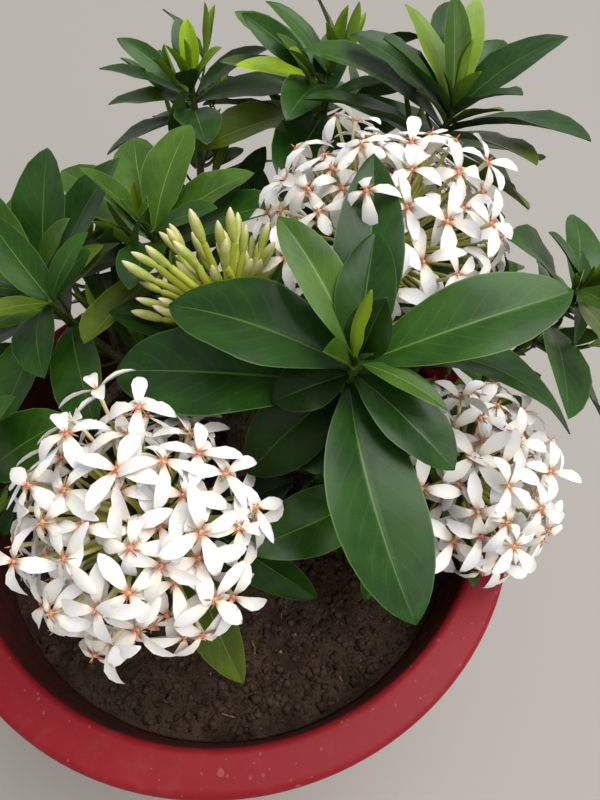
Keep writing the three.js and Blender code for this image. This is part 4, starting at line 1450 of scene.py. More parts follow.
# %% The tree that sets templates on points
def stamped_on(points, kinds, index, rotation, scale):
    """Templates of a collection on points, each picked by its index."""
    templates = value_from(
        points.tree, "GeometryNodeCollectionInfo", 0,
        {"Collection": kinds, "Separate Children": True, "Reset Children": True},
    )
    return value_from(
        points.tree, "GeometryNodeInstanceOnPoints", 0,
        {"Points": points, "Instance": templates, "Pick Instance": True, "Instance Index": index,
         "Rotation": rotation, "Scale": scale},
    )


def kinds_of(name, objects):
    """A collection of templates that isn't shown itself."""
    group = bpy.data.collections.new(name)
    for item in objects:
        group.objects.link(item)
    return group


stamp_tree, given = new_tree("Stamp", {"Kinds": "Collection", "Size": "Float", "Material": "Material"})
facing, across, size = [
    attribute(stamp_tree, name, "FLOAT_VECTOR") for name in ("facing", "across", "size")
]
pose = value_from(
    stamp_tree, "FunctionNodeAxesToRotation", 0, {"Primary Axis": facing, "Secondary Axis": across},
    primary_axis="Z", secondary_axis="X",
)
stamped = stamped_on(
    given["Geometry"], given["Kinds"], attribute(stamp_tree, "kind", "INT"), pose,
    vector_calc("SCALE", size, given["Size"]),
)
end_tree(stamped, given)


def stamp(name, rows, kinds, size, material):
    """A piece of templates on points. A row is a place in millimetres, the way its template faces,
    a direction across, a size and the number of the kind."""
    mesh = bpy.data.meshes.new(name + " points")
    places, facings, acrosses, sizes, numbers = zip(*rows)
    mesh.from_pydata([place * MM for place in places], [], [])
    store(mesh, {"facing": facings, "across": acrosses, "size": [(size,) * 3 for size in sizes]})
    mesh.attributes.new("kind", "INT", "POINT").data.foreach_set("value", numbers)
    return run_tree(name, mesh, stamp_tree, {"Kinds": kinds, "Size": size, "Material": material})


# %% The templates of a star
PETAL_OUTLINE = ((0, 0.26), (0.14, 0.42), (0.28, 0.72), (0.42, 0.94), (0.53, 1.0), (0.66, 0.95),
                 (0.78, 0.8), (0.9, 0.52), (0.96, 0.34), (1.0, 0.14))
PETAL_SHARES = (0, 0.28, 0.53, 0.74, 0.9, 1.0)
PETAL_ACROSS = (0, 0.5, 1, 0.5, 0)
PETAL = Sizes(half=0.2, foot=0.07, thick=0.014)
ABOVE, KIND_MIX = Vector((0, 0, 1)), 997


def spoke_at(angle):
    """The level direction at an angle."""
    return Vector((cos(angle), sin(angle), 0))


def petal_rings(angle, rise, curl, roll, long, cup):
    """The rings of four points along one petal: left edge, upper side, right edge, under side."""
    spoke, side = spoke_at(angle), spoke_at(angle + pi / 2)
    for share in PETAL_SHARES:
        slope = rise - curl * share
        middle = (PETAL.foot + long * share * cos(slope)) * spoke
        middle += long * share * sin(slope) * ABOVE
        half = PETAL.half * outline_at(PETAL_OUTLINE, share)
        aside = half * (cos(roll * share) * side + sin(roll * share) * ABOVE)
        edge = cup * half * ABOVE
        thick = PETAL.thick * sqrt(max(0.1, 1 - share)) * ABOVE
        yield middle - aside + edge, middle + thick, middle + aside + edge, middle - thick


# %% A star of four petals
def petal_star(name, rise, curl, cup, seed):
    """Four petals in a cross, of unit length, facing +Z. rise lifts them, curl bends their ends back."""
    draw = random_from(seed)
    made = bmesh.new()
    for petal in range(4):
        angle = petal * pi / 2 + 0.16 * (draw() - 0.5)
        own_rise, own_curl = rise + 0.3 * (draw() - 0.5), curl + 0.35 * (draw() - 0.5)
        roll, long = 0.9 * (draw() - 0.5), lerp(0.92, 1.04, draw())
        rings = [[made.verts.new(corner) for corner in ring]
                 for ring in petal_rings(angle, own_rise, own_curl, roll, long, cup)]
        for low, high, share, after in zip(rings, rings[1:], PETAL_SHARES, PETAL_SHARES[1:]):
            for column, (left, right) in enumerate(zip(PETAL_ACROSS, PETAL_ACROSS[1:])):
                follow = (column + 1) % 4
                mapped_face(made, (low[column], high[column], high[follow], low[follow]),
                            ((left, share), (left, after), (right, after), (right, share)))
            for edge in (0, 2):
                made.edges.get((low[edge], high[edge])).smooth = False
        made.faces.new(rings[0])
        made.faces.new(rings[-1][::-1])
    bmesh.ops.recalc_face_normals(made, faces=made.faces)
    return bpy.data.objects.new(name, mesh_from(name, made))


STARS = (
    ("star a flat", 0.12, 0.35, 0.3, 11), ("star b cupped", 0.34, 0.3, 0.4, 12),
    ("star c bent", 0.1, 0.95, -0.3, 13), ("star d loose", 0.16, 0.65, 0.35, 14),
    ("star e flat", 0.02, 0.3, -0.25, 15), ("star f half", 0.62, 0.6, 0.45, 16),
)
star_kinds = kinds_of("kinds of star", [petal_star(*star) for star in STARS])

# %% [markdown]
# ### The finish of petals
# The petals are white and soft. A very faint lavender cast lies towards their ends, the foot is flushed
# with salmon, and fine lines run along them. A little light passes through, so the shader scatters
# some under its surface.

# %% Petal finish
petal_white, tree, shader = new_material(
    "petal white",
    {"Roughness": 0.55, "Subsurface Weight": 0.25, "Subsurface Scale": 0.002,
     "Subsurface Radius": (1.0, 0.95, 0.9), "Specular IOR Level": 0.3, "Sheen Weight": 0.15},
)
chart = value_from(tree, "ShaderNodeUVMap")
v = parts_of(chart)[1]
colour = drifting(object_place(tree), 90.0, 0.7, (0.92, 0.89, 0.83), (0.84, 0.85, 0.91))
for reach, full, share, tint in (
    (0.6, 0.15, 0.6, (0.9, 0.8, 0.6)), (0.34, 0.08, 0.35, (0.86, 0.5, 0.42)),
    (0.14, 0.0, 0.75, (0.72, 0.24, 0.17)),
):
    colour = blend(step_between(v, reach, full) * share, colour, tint)
feed(shader.inputs["Base Color"], colour)
lines = value_from(
    tree, "ShaderNodeTexWave", "Fac",
    {"Vector": chart, "Scale": 4.0, "Distortion": 0.6, "Detail": 1.0}, bands_direction="X",
)
bump(shader, lines, 0.15, 0.2 * MM)

# %% The petals
def star_rows(lift, kinds):
    """Where the stars of all heads stand, lifted along their own axis by so many millimetres."""
    rows = []
    for flower in flowers:
        across = flower.facing.orthogonal().normalized()
        across.rotate(Matrix.Rotation(flower.spin, 3, flower.facing))
        kind = int(KIND_MIX * flower.spin) % len(star_kinds.objects) % len(kinds.objects)
        rows.append((flower.centre + lift * flower.facing, flower.facing, across, flower.size, kind))
    return rows


petals = stamp("petals", star_rows(0, star_kinds), star_kinds, FLOWER.petal * MM, petal_white)

# %% [markdown]
# ### Throats, anthers and tubes
# In the middle of a star a small salmon throat opens, and a style stands up from it. Between the
# petals four slim brown anthers point out and back. Below, the tube is yellow-green and grows paler
# towards its star. Each of these is small, but together they give the heads their warm specks.

# %% Templates of the throat and the anthers
def spindle(made, start, end, radius, sides, shares):
    """Adds a slim closed spindle between two points, with a ring at each share of its length."""
    axis = (end - start).normalized()
    across = axis.orthogonal().normalized()
    third = axis.cross(across)
    rings = []
    for share in shares:
        width = radius * (0.25 + 0.75 * sin(pi * share))
        rings.append([
            made.verts.new(start.lerp(end, share)
                           + width * (cos(angle) * across + sin(angle) * third))
            for angle in circle(sides)
        ])
    skin_rings(made, rings)


def object_from(name, made):
    """A smooth object from a working mesh, which is used up."""
    mesh = mesh_from(name, made)
    smooth_shaded(mesh)
    return bpy.data.objects.new(name, mesh)


def anther_cross(name, seed):
    """Four anthers between the petals of a star, in millimetres."""
    draw = random_from(seed)
    made = bmesh.new()
    for number in range(4):
        spoke = spoke_at(pi / 4 + number * pi / 2 + 0.3 * (draw() - 0.5))
        droop = (0.4 - 2.4 * draw()) * ABOVE
        foot, tip = 0.9 * spoke + 0.3 * ABOVE, (3.0 + 1.6 * draw()) * spoke + droop
        spindle(made, foot, tip, 0.3, 4, (0, 0.3, 0.7, 1))
    return object_from(name, made)


def throat(name):
    """A shallow ring round the mouth of the tube and a style, in millimetres."""
    made = bmesh.new()
    spindle(made, -0.5 * ABOVE, 0.6 * ABOVE, 0.95, 8, (0.1, 0.4, 0.7, 0.92))
    spindle(made, 0.3 * ABOVE, Vector((0.2, 0.1, 2.6)), 0.28, 4, (0, 0.5, 1))
    return object_from(name, made)


anther_kinds = kinds_of("kinds of anthers",
                        [anther_cross("anthers %d" % seed, seed) for seed in range(21, 27)])
throat_kinds = kinds_of("kind of throat", [throat("throat")])

# %% Throats and anthers
def velvet_finish(name, constants, scale, first, second, grain, strength):
    """The finish of a small soft part: two colours that drift, and a fine grain."""
    material, tree, shader = new_material(name, constants)
    place = object_place(tree)
    feed(shader.inputs["Base Color"], drifting(place, scale, 1.0, first, second))
    bump(shader, noise_at(place, grain), strength, 0.1 * MM)
    return material


anther_brown = velvet_finish(
    "anther brown", {"Roughness": 0.6}, 400.0, (0.26, 0.12, 0.035), (0.42, 0.25, 0.08), 3000.0, 0.4
)
throat_salmon = velvet_finish(
    "throat salmon", {"Roughness": 0.5, "Subsurface Weight": 0.15, "Subsurface Scale": 0.001},
    500.0, (0.6, 0.17, 0.1), (0.72, 0.4, 0.14), 2500.0, 0.3,
)
anthers = stamp("anthers", star_rows(0.3, anther_kinds), anther_kinds, MM, anther_brown)
throats = stamp("throats", star_rows(0.1, throat_kinds), throat_kinds, MM, throat_salmon)

# %% The finish of tubes
def tube_finish(name, first, second, end):
    """The finish of a flower's tube: two greens that drift, and another colour towards its star."""
    material, tree, shader = new_material(
        name, {"Roughness": 0.5, "Subsurface Weight": 0.1, "Subsurface Scale": 0.002}
    )
    place = object_place(tree)
    olives = drifting(place, 120.0, 1.0, first, second)
    feed(shader.inputs["Base Color"], blend(step_between(share_along(tree), 0.45, 1.0), olives, end))
    bump(shader, noise_at(place, 1500.0), 0.2, 0.1 * MM)
    return material


tube_skin = tube_finish("tube skin", (0.42, 0.44, 0.06), (0.56, 0.52, 0.14), (0.8, 0.72, 0.45))
bud_skin = tube_finish("bud stem skin", (0.3, 0.35, 0.012), (0.44, 0.44, 0.02), (0.4, 0.44, 0.04))

# %% The tubes and the branches that carry them
TUBE = Sizes(root=0.3, fork=0.13, widths=(1.08, 0.864, 0.72, 0.72, 0.72, 0.756, 1.05))


def tube_path(flower):
    """A flower's tube, from its foot to the mouth behind the petals."""
    foot = flower.hub.lerp(flower.centre, TUBE.root)
    mouth = flower.centre - 0.2 * flower.facing
    curve = Curve(foot, mouth - ARM * (mouth - foot).length * flower.facing, mouth)
    return [(curve.point(step / 6), width) for step, width in enumerate(TUBE.widths)]


def branch_path(flower):
    """The short green branch below a tube."""
    foot = flower.hub.lerp(flower.centre, TUBE.root)
    curve = Curve(flower.hub, flower.hub + TUBE.fork * flower.branch, foot)
    return path_along(curve, 4, lambda share: lerp(1.1, 0.75, share))


head_nodes = ["flower_head_" + shoot.name for shoot in heads if shoot.blossom == "open"]
tubes = tubes_along("flower_tubes", [tube_path(flower) for flower in flowers], 7, tube_skin)
branches = tubes_along("flower_branches", [branch_path(flower) for flower in flowers], 7, stem_skin)
for piece in (petals, anthers, throats, tubes, branches):
    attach(piece, "root")
    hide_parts(*head_nodes)

# %% [markdown]
# ## The cluster of buds
# A younger head stands behind the front rosette: some forty slim yellow-green tubes in bunches, each
# ending in a closed, pointed club of pale cream-green. The tubes are drawn by the tree of tubes and the
# clubs are stamped on their ends. A club is four petals rolled together, so it has four soft ridges.

# %% A bud and its room
BUD = Sizes(
    least=0.7, range=0.38, share=2.5, club=14, radius=1.9, tube=1.3, short=0.3, stray=5, lean=10,
    size=(0.8, 1.1), bunches=7, bunch_cap=0.8
)
Bud = namedtuple("Bud", "hub way tip facing size group")


def bud_path(bud):
    """A bud's tube: from the knob by the tip of its bunch to the foot of its club."""
    end = bud.tip - (BUD.club * bud.size - 1) * bud.facing
    reach = (end - bud.hub).length
    fork = bud.hub + 0.2 * reach * bud.group
    curve = Curve(fork, fork + 0.5 * reach * bud.way.lerp(bud.facing, 0.3), end)
    knob = [(bud.hub, 1.3), (bud.hub.lerp(fork, 0.5), 1.15)]
    return knob + path_along(curve, 6, lambda share: BUD.tube * lerp(1.15, 1, share))


def bud_has_room(bud):
    """Whether a bud and its tube keep clear of the leaves."""
    spots = [(bud.tip - step * bud.facing, BUD.radius + 0.6) for step in (0, 4, 8, 12)]
    path = [point for point, _ in bud_path(bud)[2:]]
    for low, high in zip(path, path[1:]):
        spots += [(low.lerp(high, part / 5), BUD.tube + 0.5) for part in range(1, 6)]
    return all(distance_to(leaf_surface, point) > least for point, least in spots)


# %% The buds of the cluster
bud_draw = random_from(404)
buds = []
for shoot in heads:
    if shoot.blossom != "bud":
        continue
    place = curves[shoot.name].frame(1)
    count = round(shoot.count * BUD.share)
    bunches = cap_directions(place, BUD.bunches, shoot.cap * BUD.bunch_cap)
    for direction in cap_directions(place, count, shoot.cap):
        way = leaned(direction, BUD.stray, bud_draw)
        facing = leaned(way, BUD.lean, bud_draw)
        size = lerp(*BUD.size, bud_draw())
        # The buds on the right of the cluster are younger and shorter.
        short = 1 - BUD.short * max(0, way.x + 0.25)
        tip = place.origin + shoot.spread * short * (BUD.least + BUD.range * bud_draw()) * way
        bud = Bud(place.origin, way, tip, facing, size, nearest_of(way, bunches))
        if bud_has_room(bud):
            buds.append(bud)
print(len(buds), "buds")

# %% The template of a bud's club
CLUB_OUTLINE = (
    (0.0, 0.42), (0.1, 0.5), (0.28, 0.86), (0.5, 1.0), (0.7, 0.9), (0.86, 0.62), (0.96, 0.3), (1.0, 0.1),
)
RIDGE, VALLEY, CLUB_BOW, FULL_TURN = 1.08, 0.94, 0.48, 6.283


def club(name, seed):
    """A closed pointed bud along +Z with its tip at the origin, of unit length and four soft ridges."""
    draw = random_from(seed)
    made = bmesh.new()
    bow = Vector((draw() - 0.5, draw() - 0.5, 0)) * CLUB_BOW
    rings = []
    for share, width in CLUB_OUTLINE:
        middle = (share - 1) * ABOVE + bow * share * (1 - share)
        radius = BUD.radius / BUD.club * width
        rings.append([
            made.verts.new(middle + radius * (RIDGE if side % 2 else VALLEY) * spoke_at(angle))
            for side, angle in enumerate(circle(8))
        ])
    skin_rings(made, rings)
    chart = made.loops.layers.uv.verify()
    for face in made.faces:
        for loop in face.loops:
            x, y, z = loop.vert.co
            loop[chart].uv = (atan2(y, x) / FULL_TURN + 0.5, z + 1)
    return object_from(name, made)


club_kinds = kinds_of("kinds of club", [club("club %d" % seed, seed) for seed in (31, 32, 33)])

# %% Bud finish
bud_wax, tree, shader = new_material(
    "bud wax", {"Roughness": 0.45, "Subsurface Weight": 0.2, "Subsurface Scale": 0.002,
                "Specular IOR Level": 0.4}
)
u, v, _ = parts_of(value_from(tree, "ShaderNodeUVMap"))
greens = drifting(object_place(tree), 150.0, 1.0, (0.32, 0.38, 0.055), (0.44, 0.46, 0.1))
creams = blend(step_between(v, 0.5, 1.05), greens, (0.7, 0.63, 0.36))
seam = abs(calc("FRACT", u * 4.0) - 0.5)
feed(shader.inputs["Base Color"], blend(step_between(seam, 0.08, 0.0) * 0.4, creams, (0.26, 0.32, 0.04)))
bump(shader, step_between(seam, 0.0, 0.2), 0.3, 0.2 * MM)

# %% Clubs and tubes of the buds
bud_rows = [(bud.tip, bud.facing, bud.facing.orthogonal(), BUD.club * bud.size, index % 3)
            for index, bud in enumerate(buds)]
clubs = stamp("bud_clubs", bud_rows, club_kinds, MM, bud_wax)
bud_tubes = tubes_along("bud_tubes", [bud_path(bud) for bud in buds], 8, bud_skin)
for piece in (clubs, bud_tubes):
    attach(piece, "root")
    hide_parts("bud_head_buds")

# %% [markdown]
# ## The pot
# The pot is a thin plastic shell: a tapering wall, a wide lip that turns over, and a skirt that hangs
# from it. It is a lathe form, so its profile is spun about the upright axis in small steps, with the
# edges rounded by short arcs. Then the drain holes are cut through its floor.

# %% The pot's profile
POT_SEGMENTS, LIP_EDGE, SKIRT_EDGE = 160, 3, 1.5


def inner_radius(height):
    """The radius of the pot's inner wall at a height."""
    floor = POT.foot - POT.wall
    return lerp(floor, POT.mouth, (height - POT.wall) / (POT.height - POT.wall))


def arc(radius, height, size, start, end, steps):
    """Points round an arc of a profile."""
    angles = [radians(lerp(start, end, step / steps)) for step in range(steps + 1)]
    return [(radius + size * cos(angle), height + size * sin(angle)) for angle in angles]


def pot_profile():
    """The pot's outline from the middle of its underside, up the outside, over the lip and down inside."""
    top, wall, rim, edge = POT.height, POT.wall, POT.rim, POT.edge
    under, skirt = top - wall, top - POT.skirt
    return [
        (0, 0), (POT.foot - wall, 0), *arc(POT.foot - wall, wall, wall, -70, -8, 4),
        (inner_radius(skirt) + wall, skirt), (inner_radius(under) + wall, under),
        (rim - wall - 1, under), (rim - wall - 2, skirt + 1),
        *arc(rim - 2 - SKIRT_EDGE, skirt + 1, SKIRT_EDGE, 180, 360, 6),
        (rim - 0.8, skirt + 12), *arc(rim - edge, top - edge, edge, 0, 90, 8),
        (inner_radius(top) + 4, top), *arc(inner_radius(top) + 3, top - LIP_EDGE, LIP_EDGE, 90, 176, 6),
        (inner_radius(top - 30), top - 30), (inner_radius(wall + 3), wall + 3),
        (inner_radius(wall) - 4, wall), (0, wall),
    ]


# %% The profile spun round, and the drain holes
def spun(name, profile, segments):
    """A profile spun about the upright axis into a closed shell."""
    made = bmesh.new()
    corners = [made.verts.new((radius * MM, 0, height * MM)) for radius, height in profile]
    edges = [made.edges.new(pair) for pair in zip(corners, corners[1:])]
    bmesh.ops.spin(
        made, geom=corners + edges, cent=(0, 0, 0), axis=(0, 0, 1), angle=2 * pi, steps=segments,
        use_merge=True,
    )
    bmesh.ops.remove_doubles(made, verts=made.verts, dist=1e-6)
    bmesh.ops.recalc_face_normals(made, faces=made.faces)
    return object_from(name, made)


pot = spun("pot_shell", pot_profile(), POT_SEGMENTS)
scene.collection.objects.link(pot)
drills = bmesh.new()
for angle in circle(POT.holes):
    bmesh.ops.create_cone(
        drills, cap_ends=True, segments=32, radius1=POT.hole * MM, radius2=POT.hole * MM,
        depth=4 * POT.wall * MM, matrix=Matrix.Translation(POT.ring * MM * spoke_at(angle)),
    )
drill = object_from("drills", drills)
cut = pot.modifiers.new("drain holes", "BOOLEAN")
cut.object, cut.solver = drill, "EXACT"
apply_modifiers(pot)
bpy.data.objects.remove(drill)
print("pot", len(pot.data.polygons), "faces")

# %% [markdown]
# ### The finish of the pot
# It is satin red plastic that has been out of doors. Watering has left pale dried splashes and a film
# of dust. The inner wall is painted near black down to the soil, partly dirt and partly painted shade
# inside the pot, and the outside is painted darker towards the foot. Splashes are a group of round
# spots with dried rims in several sizes, and the pot uses it twice. The darkening knows the inner wall
# from the outer one by how far a place is inside the middle of the tapering wall.

# %% The group that draws dried splashes
splash_group, given, put_out = new_group(
    "Dried splashes",
    {"Place": ("Vector", None), "Scale": ("Float", 120.0), "Size": ("Float", 0.3), "Share": ("Float", 0.5)},
    {"Mask": "Float"},
)
place, scale = given["Place"], given["Scale"]
cells = outputs_of(add_node(splash_group, "ShaderNodeTexVoronoi", {"Vector": place, "Scale": scale}))
reach = cells["Distance"] + noise_at(place, scale * 3.0) * 0.16 - 0.08
picks = outputs_of(add_node(splash_group, "ShaderNodeSeparateColor", {"Color": cells["Color"]}))
chosen = calc("LESS_THAN", picks["Red"], given["Share"])
size = given["Size"] * (picks["Green"] * 0.9 + 0.25)
body = step_between(reach, size, size * 0.75)
dried_rim = step_between(reach, size * 0.3, size) * 0.6
feed(put_out["Mask"], body * (dried_rim + 0.4) * chosen)


def splashes_at(place, scale, size, share):
    """Dried splashes of one size."""
    values = {"Place": place, "Scale": scale, "Size": size, "Share": share}
    return place_group(place.tree, splash_group, values)["Mask"]


# %% Red plastic
LIP_TOP, LIP_UNDER, FOOT_DARK = 0.2245, 0.22, 0.06
red_plastic, tree, shader = new_material("red plastic", {"Specular IOR Level": 0.13})
place = object_place(tree)
x, y, z = parts_of(place)
slant = (POT.mouth - POT.foot + POT.wall) / (POT.height - POT.wall)
mid_wall = z * slant + (POT.foot - POT.wall / 2) * MM
inwards = mid_wall - calc("SQRT", x * x + y * y)
# The inner wall below the lip is darkened near black: partly dirt, partly painted shade inside the pot.
inside = step_between(inwards, 0.2 * MM, 0.8 * MM) * step_between(z, LIP_TOP, LIP_UNDER)
# The outside grows darker towards the foot.
low = step_between(z, FOOT_DARK, 0.0)
dark_patches = step_between(noise_at(place, 140.0, 4.0), 0.3, 0.7)
dark_inside_and_foot = calc("MAXIMUM", inside, low * 0.6) * (dark_patches * 0.35 + 0.62)
dust = noise_at(place, 60.0, 6.0, 0.7)
splashes = calc(
    "MAXIMUM", splashes_at(place, 110.0, 0.22, 0.22), splashes_at(place, 420.0, 0.26, 0.3)
) * 0.36
colour = drifting(place, 18.0, 0.7, (0.215, 0.009, 0.014), (0.18, 0.008, 0.012))
# The last blend paints the inner wall near black, partly dirt and partly painted shade, and darkens the foot.
for share, over in ((step_between(dust, 0.5, 0.75) * 0.16, (0.24, 0.08, 0.075)),
                    (splashes, (0.34, 0.18, 0.16)), (dark_inside_and_foot, (0.035, 0.018, 0.013))):
    colour = blend(share, colour, over)
feed(shader.inputs["Base Color"], colour)
feed(shader.inputs["Roughness"], dust * 0.18 + 0.34 + calc("MAXIMUM", splashes, dark_inside_and_foot) * 0.4)
bump(shader, noise_at(place, 1400.0) + splashes, 0.12, 0.3 * MM)
one_material(pot.data, red_plastic)
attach(pot, "root")
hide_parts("pot")

# %% [markdown]
# ## Soil
# The soil is dark and coarse: crumbs of all sizes, pale grit, bits of straw and bark. Its top is a
# closed mesh of rings lifted by noise, and it meets the wall a little lower than the middle. On it a
# node tree scatters three kinds of bits by a seeded rule, half sunk in, so that the surface casts small
# shadows of its own.

# %% The bed of soil
SOIL_RINGS, SOIL_SEGMENTS, SOIL_RELIEF, SOIL_SUNK, SOIL_ROOM = 120, 400, 1.56, 0.8, GAP + 0.1
SOIL_EDGE = inner_radius(SOIL_LEVEL - SOIL_DROP)
LUMPS, CLODS = 0.045, 0.25


def soil_height(radius, x, y):
    """The height of the soil: flat in the middle, lower at the wall, and lumpy."""
    fall = SOIL_DROP * max(0, (radius - SOIL_FLAT) / (SOIL_EDGE - SOIL_FLAT))
    place = Vector((x, y, 3.0))
    lumps = noise.fractal(place * LUMPS, 0.9, 2.1, 4) + 0.4 * noise.fractal(place * CLODS, 0.7, 2.0, 4)
    return SOIL_LEVEL - SOIL_SUNK - fall + SOIL_RELIEF * lumps


def soil_mesh():
    """A closed bed: lumpy top, and a plain wall and floor inside the pot."""
    rows = [((SOIL_EDGE - SOIL_ROOM) * step / SOIL_RINGS, None) for step in range(1, SOIL_RINGS + 1)]
    rows += [(inner_radius(height) - SOIL_ROOM, height) for height in (100, POT.wall + GAP)]
    made = bmesh.new()
    top = made.verts.new((0, 0, soil_height(0, 0, 0) * MM))
    rings = []
    for radius, height in rows:
        ring = []
        for angle in circle(SOIL_SEGMENTS):
            x, y = radius * cos(angle), radius * sin(angle)
            z = soil_height(radius, x, y) if height is None else height
            ring.append(made.verts.new(Vector((x, y, z)) * MM))
        rings.append(ring)
    for side in range(SOIL_SEGMENTS):
        made.faces.new((top, rings[0][side], rings[0][(side + 1) % SOIL_SEGMENTS]))
    for low, high in zip(rings, rings[1:]):
        for side in range(SOIL_SEGMENTS):
            after = (side + 1) % SOIL_SEGMENTS
            made.faces.new((low[side], high[side], high[after], low[after]))
    made.faces.new(rings[-1][::-1])
    bmesh.ops.recalc_face_normals(made, faces=made.faces)
    return object_from("soil_bed", made)


soil = soil_mesh()
scene.collection.objects.link(soil)
print("soil", len(soil.data.polygons), "faces")

# %% Soil finish
soil_brown, tree, shader = new_material("soil brown", {"Roughness": 1.0, "Specular IOR Level": 0.04})
place = object_place(tree)
earths = drifting(place, 70.0, 1.0, (0.036, 0.022, 0.015), (0.074, 0.047, 0.032))
grain = noise_at(place, 700.0, 5.0, 0.7)
dark = blend(step_between(grain, 0.5, 0.3), earths, (0.01, 0.006, 0.004))
feed(shader.inputs["Base Color"], blend(step_between(grain, 0.62, 0.76), dark, (0.12, 0.085, 0.06)))
bump(shader, grain, 0.9, 1.2 * MM)
one_material(soil.data, soil_brown)
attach(soil, "root")
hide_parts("soil")

# %% A tree that scatters bits over the soil
SOIL_TOP = 0.15
scatter_tree, given = new_tree(
    "Scatter",
    {"Kinds": "Collection", "Spacing": "Float", "Density": "Float", "Least": "Float", "Most": "Float",
     "Flatness": "Float", "Radius": "Float", "Seed": "Int", "Material": "Material"},
)
x, y, z = parts_of(value_from(scatter_tree, "GeometryNodeInputPosition"))
within = calc("LESS_THAN", calc("SQRT", x * x + y * y), given["Radius"])
spread = value_from(
    scatter_tree, "GeometryNodeDistributePointsOnFaces", "Points",
    {"Mesh": given["Geometry"], "Selection": within * calc("GREATER_THAN", z, SOIL_TOP),
     "Distance Min": given["Spacing"], "Density Max": given["Density"], "Seed": given["Seed"]},
    distribute_method="POISSON",
)


def scatter_random(low, high, shift):
    """A random number for each bit. Each use has a seed of its own."""
    return value_from(
        scatter_tree, "FunctionNodeRandomValue", "Value",
        {"Min": low, "Max": high, "Seed": given["Seed"] + shift}, data_type="FLOAT",
    )


spin = combined(scatter_random(-0.5, 0.5, 1.0), scatter_random(-0.5, 0.5, 2.0),
                scatter_random(0.0, FULL_TURN, 3.0))
grade = scatter_random(0.0, 1.0, 4.0) ** 2.2
size = grade * (given["Most"] - given["Least"]) + given["Least"]
kind = value_from(
    scatter_tree, "FunctionNodeRandomValue", "Value", {"Min": 0, "Max": 20, "Seed": 9}, data_type="INT"
)
laid = stamped_on(
    spread, given["Kinds"], kind, value_from(scatter_tree, "FunctionNodeEulerToRotation", 0, {"Euler": spin}),
    combined(size, size, size * given["Flatness"]),
)
end_tree(laid, given)


# %% Templates of crumbs, grit and straw
def lump(name, seed, rough):
    """A rough round bit of unit radius."""
    made = bmesh.new()
    bmesh.ops.create_icosphere(made, subdivisions=1, radius=1)
    for corner in made.verts:
        offset = corner.co * 1.3 + Vector((seed * 3.1, seed * 1.7, 0))
        corner.co *= 1 + rough * (noise.noise(offset) + 0.5 * noise.noise(2.7 * offset))
        corner.co.x *= 1 + 0.12 * (seed % 3)
    return object_from(name, made)


def straw(name, seed):
    """A bent bit of straw or thin bark, of unit half length."""
    draw = random_from(seed)
    made = bmesh.new()
    bend = Vector((0, 0.5 * (draw() - 0.5), 0.15 * draw()))
    thick = 0.035 * ABOVE
    rings = []
    for share in (-1, -0.4, 0.3, 1):
        middle = Vector((share, 0, 0)) + bend * (1 - share * share)
        half = Vector((0, 0.09 + 0.08 * draw(), 0))
        rings.append([made.verts.new(middle + offset) for offset in (-half, thick, half, -thick)])
    skin_rings(made, rings)
    bmesh.ops.recalc_face_normals(made, faces=made.faces)
    return object_from(name, made)


def bit_finish(name, first, second, roughness, grain):
    """A dull finish for small bits: two colours and a fine grain."""
    material, tree, shader = new_material(name, {"Roughness": roughness, "Specular IOR Level": 0.06})
    place = object_place(tree)
    tones = drifting(place, 210.0, 1.0, first, second)
    texture = noise_at(place, grain, 3.0)
    shade = blend(step_between(texture, 0.55, 0.35) * 0.6, tones, (0.02, 0.014, 0.01))
    feed(shader.inputs["Base Color"], shade)
    bump(shader, texture, 0.6, 0.5 * MM)
    return material


crumb_brown = bit_finish("crumb brown", (0.034, 0.021, 0.014), (0.084, 0.053, 0.036), 0.95, 1200.0)
grit_pale = bit_finish("grit pale", (0.15, 0.11, 0.08), (0.27, 0.22, 0.17), 0.8, 900.0)
straw_dry = bit_finish("straw dry", (0.15, 0.1, 0.05), (0.25, 0.18, 0.1), 0.85, 1500.0)
crumb_kinds = kinds_of("kinds of crumb", [lump("crumb %d" % seed, seed, 0.8) for seed in range(1, 9)])
grit_kinds = kinds_of("kinds of grit", [lump("grit %d" % seed, seed, 0.35) for seed in range(7, 11)])
straw_kinds = kinds_of("kinds of straw", [straw("straw %d" % seed, seed) for seed in range(51, 56)])

# %% Crumbs, grit and straw on the soil
SCATTER_EDGE = 4
SCATTERS = (
    ("soil_crumbs", crumb_kinds, crumb_brown, 1.25, 190000.0, 0.4, 2.3, 0.7, 1),
    ("soil_grit", grit_kinds, grit_pale, 7.0, 6000.0, 0.3, 1.1, 0.7, 2),
    ("soil_straw", straw_kinds, straw_dry, 9.0, 4000.0, 1.2, 4.5, 1.0, 3),
)
for name, kinds, material, spacing, density, least, most, flatness, seed in SCATTERS:
    piece = run_tree(
        name, soil.data.copy(), scatter_tree,
        {"Kinds": kinds, "Spacing": spacing * MM, "Density": density, "Least": least * MM, "Most": most * MM,
         "Flatness": flatness, "Radius": (SOIL_EDGE - SCATTER_EDGE) * MM, "Seed": seed,
         "Material": material},
    )
    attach(piece, "root")
    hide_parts("soil")

# %% [markdown]
# ## Floor and light
# The object stands on a plain pale floor. The light is a soft studio light. A broad sun, as wide as a
# large panel overhead and a little behind on the right, gives the leaves their sheen where the picture
# has it. A weak warm panel at the front right opens the shadows, and the surround is evenly pale. The
# view transform is the standard one, so the colours come out as they are mixed and white stays white.

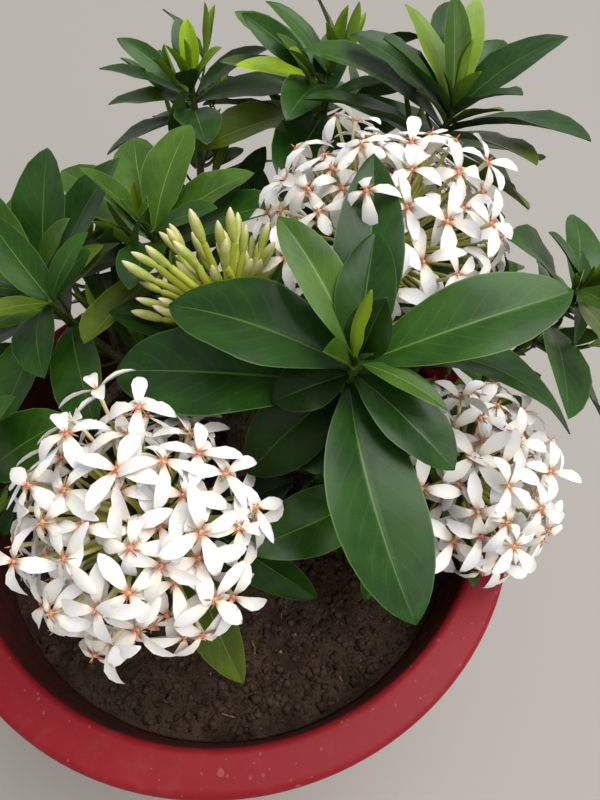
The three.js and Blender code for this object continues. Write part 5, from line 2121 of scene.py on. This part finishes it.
# %% Floor
HALF_FLOOR = 4.0
floor_mesh = bpy.data.meshes.new("floor")
corners = [(x * HALF_FLOOR, y * HALF_FLOOR, 0) for x, y in ((-1, -1), (1, -1), (1, 1), (-1, 1))]
floor_mesh.from_pydata(corners, [], [(0, 1, 2, 3)])
floor = new_piece("floor", floor_mesh)
floor_grey, tree, shader = new_material("floor grey", {"Roughness": 0.8, "Base Color": (0.315, 0.295, 0.27)})
floor_mesh.materials.append(floor_grey)
floor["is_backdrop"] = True

# %% Lights
SUN_WAY, SUN_WIDTH, SUN_STRENGTH, SUN_COLOUR = Vector((0.4, 0.08, 0.9)), 52, 3.1, (1.0, 0.995, 0.98)
PANEL_PLACE, PANEL_AIM = Vector((0.9, -1.1, 1.3)), Vector((0.0, 0.0, 0.25))
PANEL_SIZE, PANEL_STRENGTH, PANEL_COLOUR = 1.2, 10, (1.0, 0.97, 0.93)
SURROUND_COLOUR, SURROUND_STRENGTH = (0.96, 0.97, 0.98), 0.55


def add_light(name, kind, strength, colour, back, place=None):
    """A light whose back points a given way."""
    data = bpy.data.lights.new(name, kind)
    data.energy, data.color = strength, colour
    light = new_piece(name, data)
    light.rotation_euler = back.to_track_quat("Z", "Y").to_euler()
    light.location = place or (0, 0, 0)
    return data


scene.view_settings.view_transform = "Standard"
sky_light = add_light("sky light", "SUN", SUN_STRENGTH, SUN_COLOUR, SUN_WAY)
sky_light.angle = radians(SUN_WIDTH)
front_panel = add_light(
    "front panel", "AREA", PANEL_STRENGTH, PANEL_COLOUR, PANEL_PLACE - PANEL_AIM, PANEL_PLACE
)
front_panel.shape, front_panel.size = "SQUARE", PANEL_SIZE
scene.world = bpy.data.worlds.new("surround")
scene.world.use_nodes = True
background = scene.world.node_tree.nodes["Background"]
feed(background.inputs["Color"], SURROUND_COLOUR)
feed(background.inputs["Strength"], SURROUND_STRENGTH)
print("lights and surround")

# %% The last measure, and the end
visual_low, visual_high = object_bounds()
sizes = {
    "cad": [list(cad_low), list(cad_high)],
    "visual": [list(visual_low), list(visual_high)],
}
print("solid model", [[round(v, 4) for v in corner] for corner in sizes["cad"]])
print("this scene ", [[round(v, 4) for v in corner] for corner in sizes["visual"]])
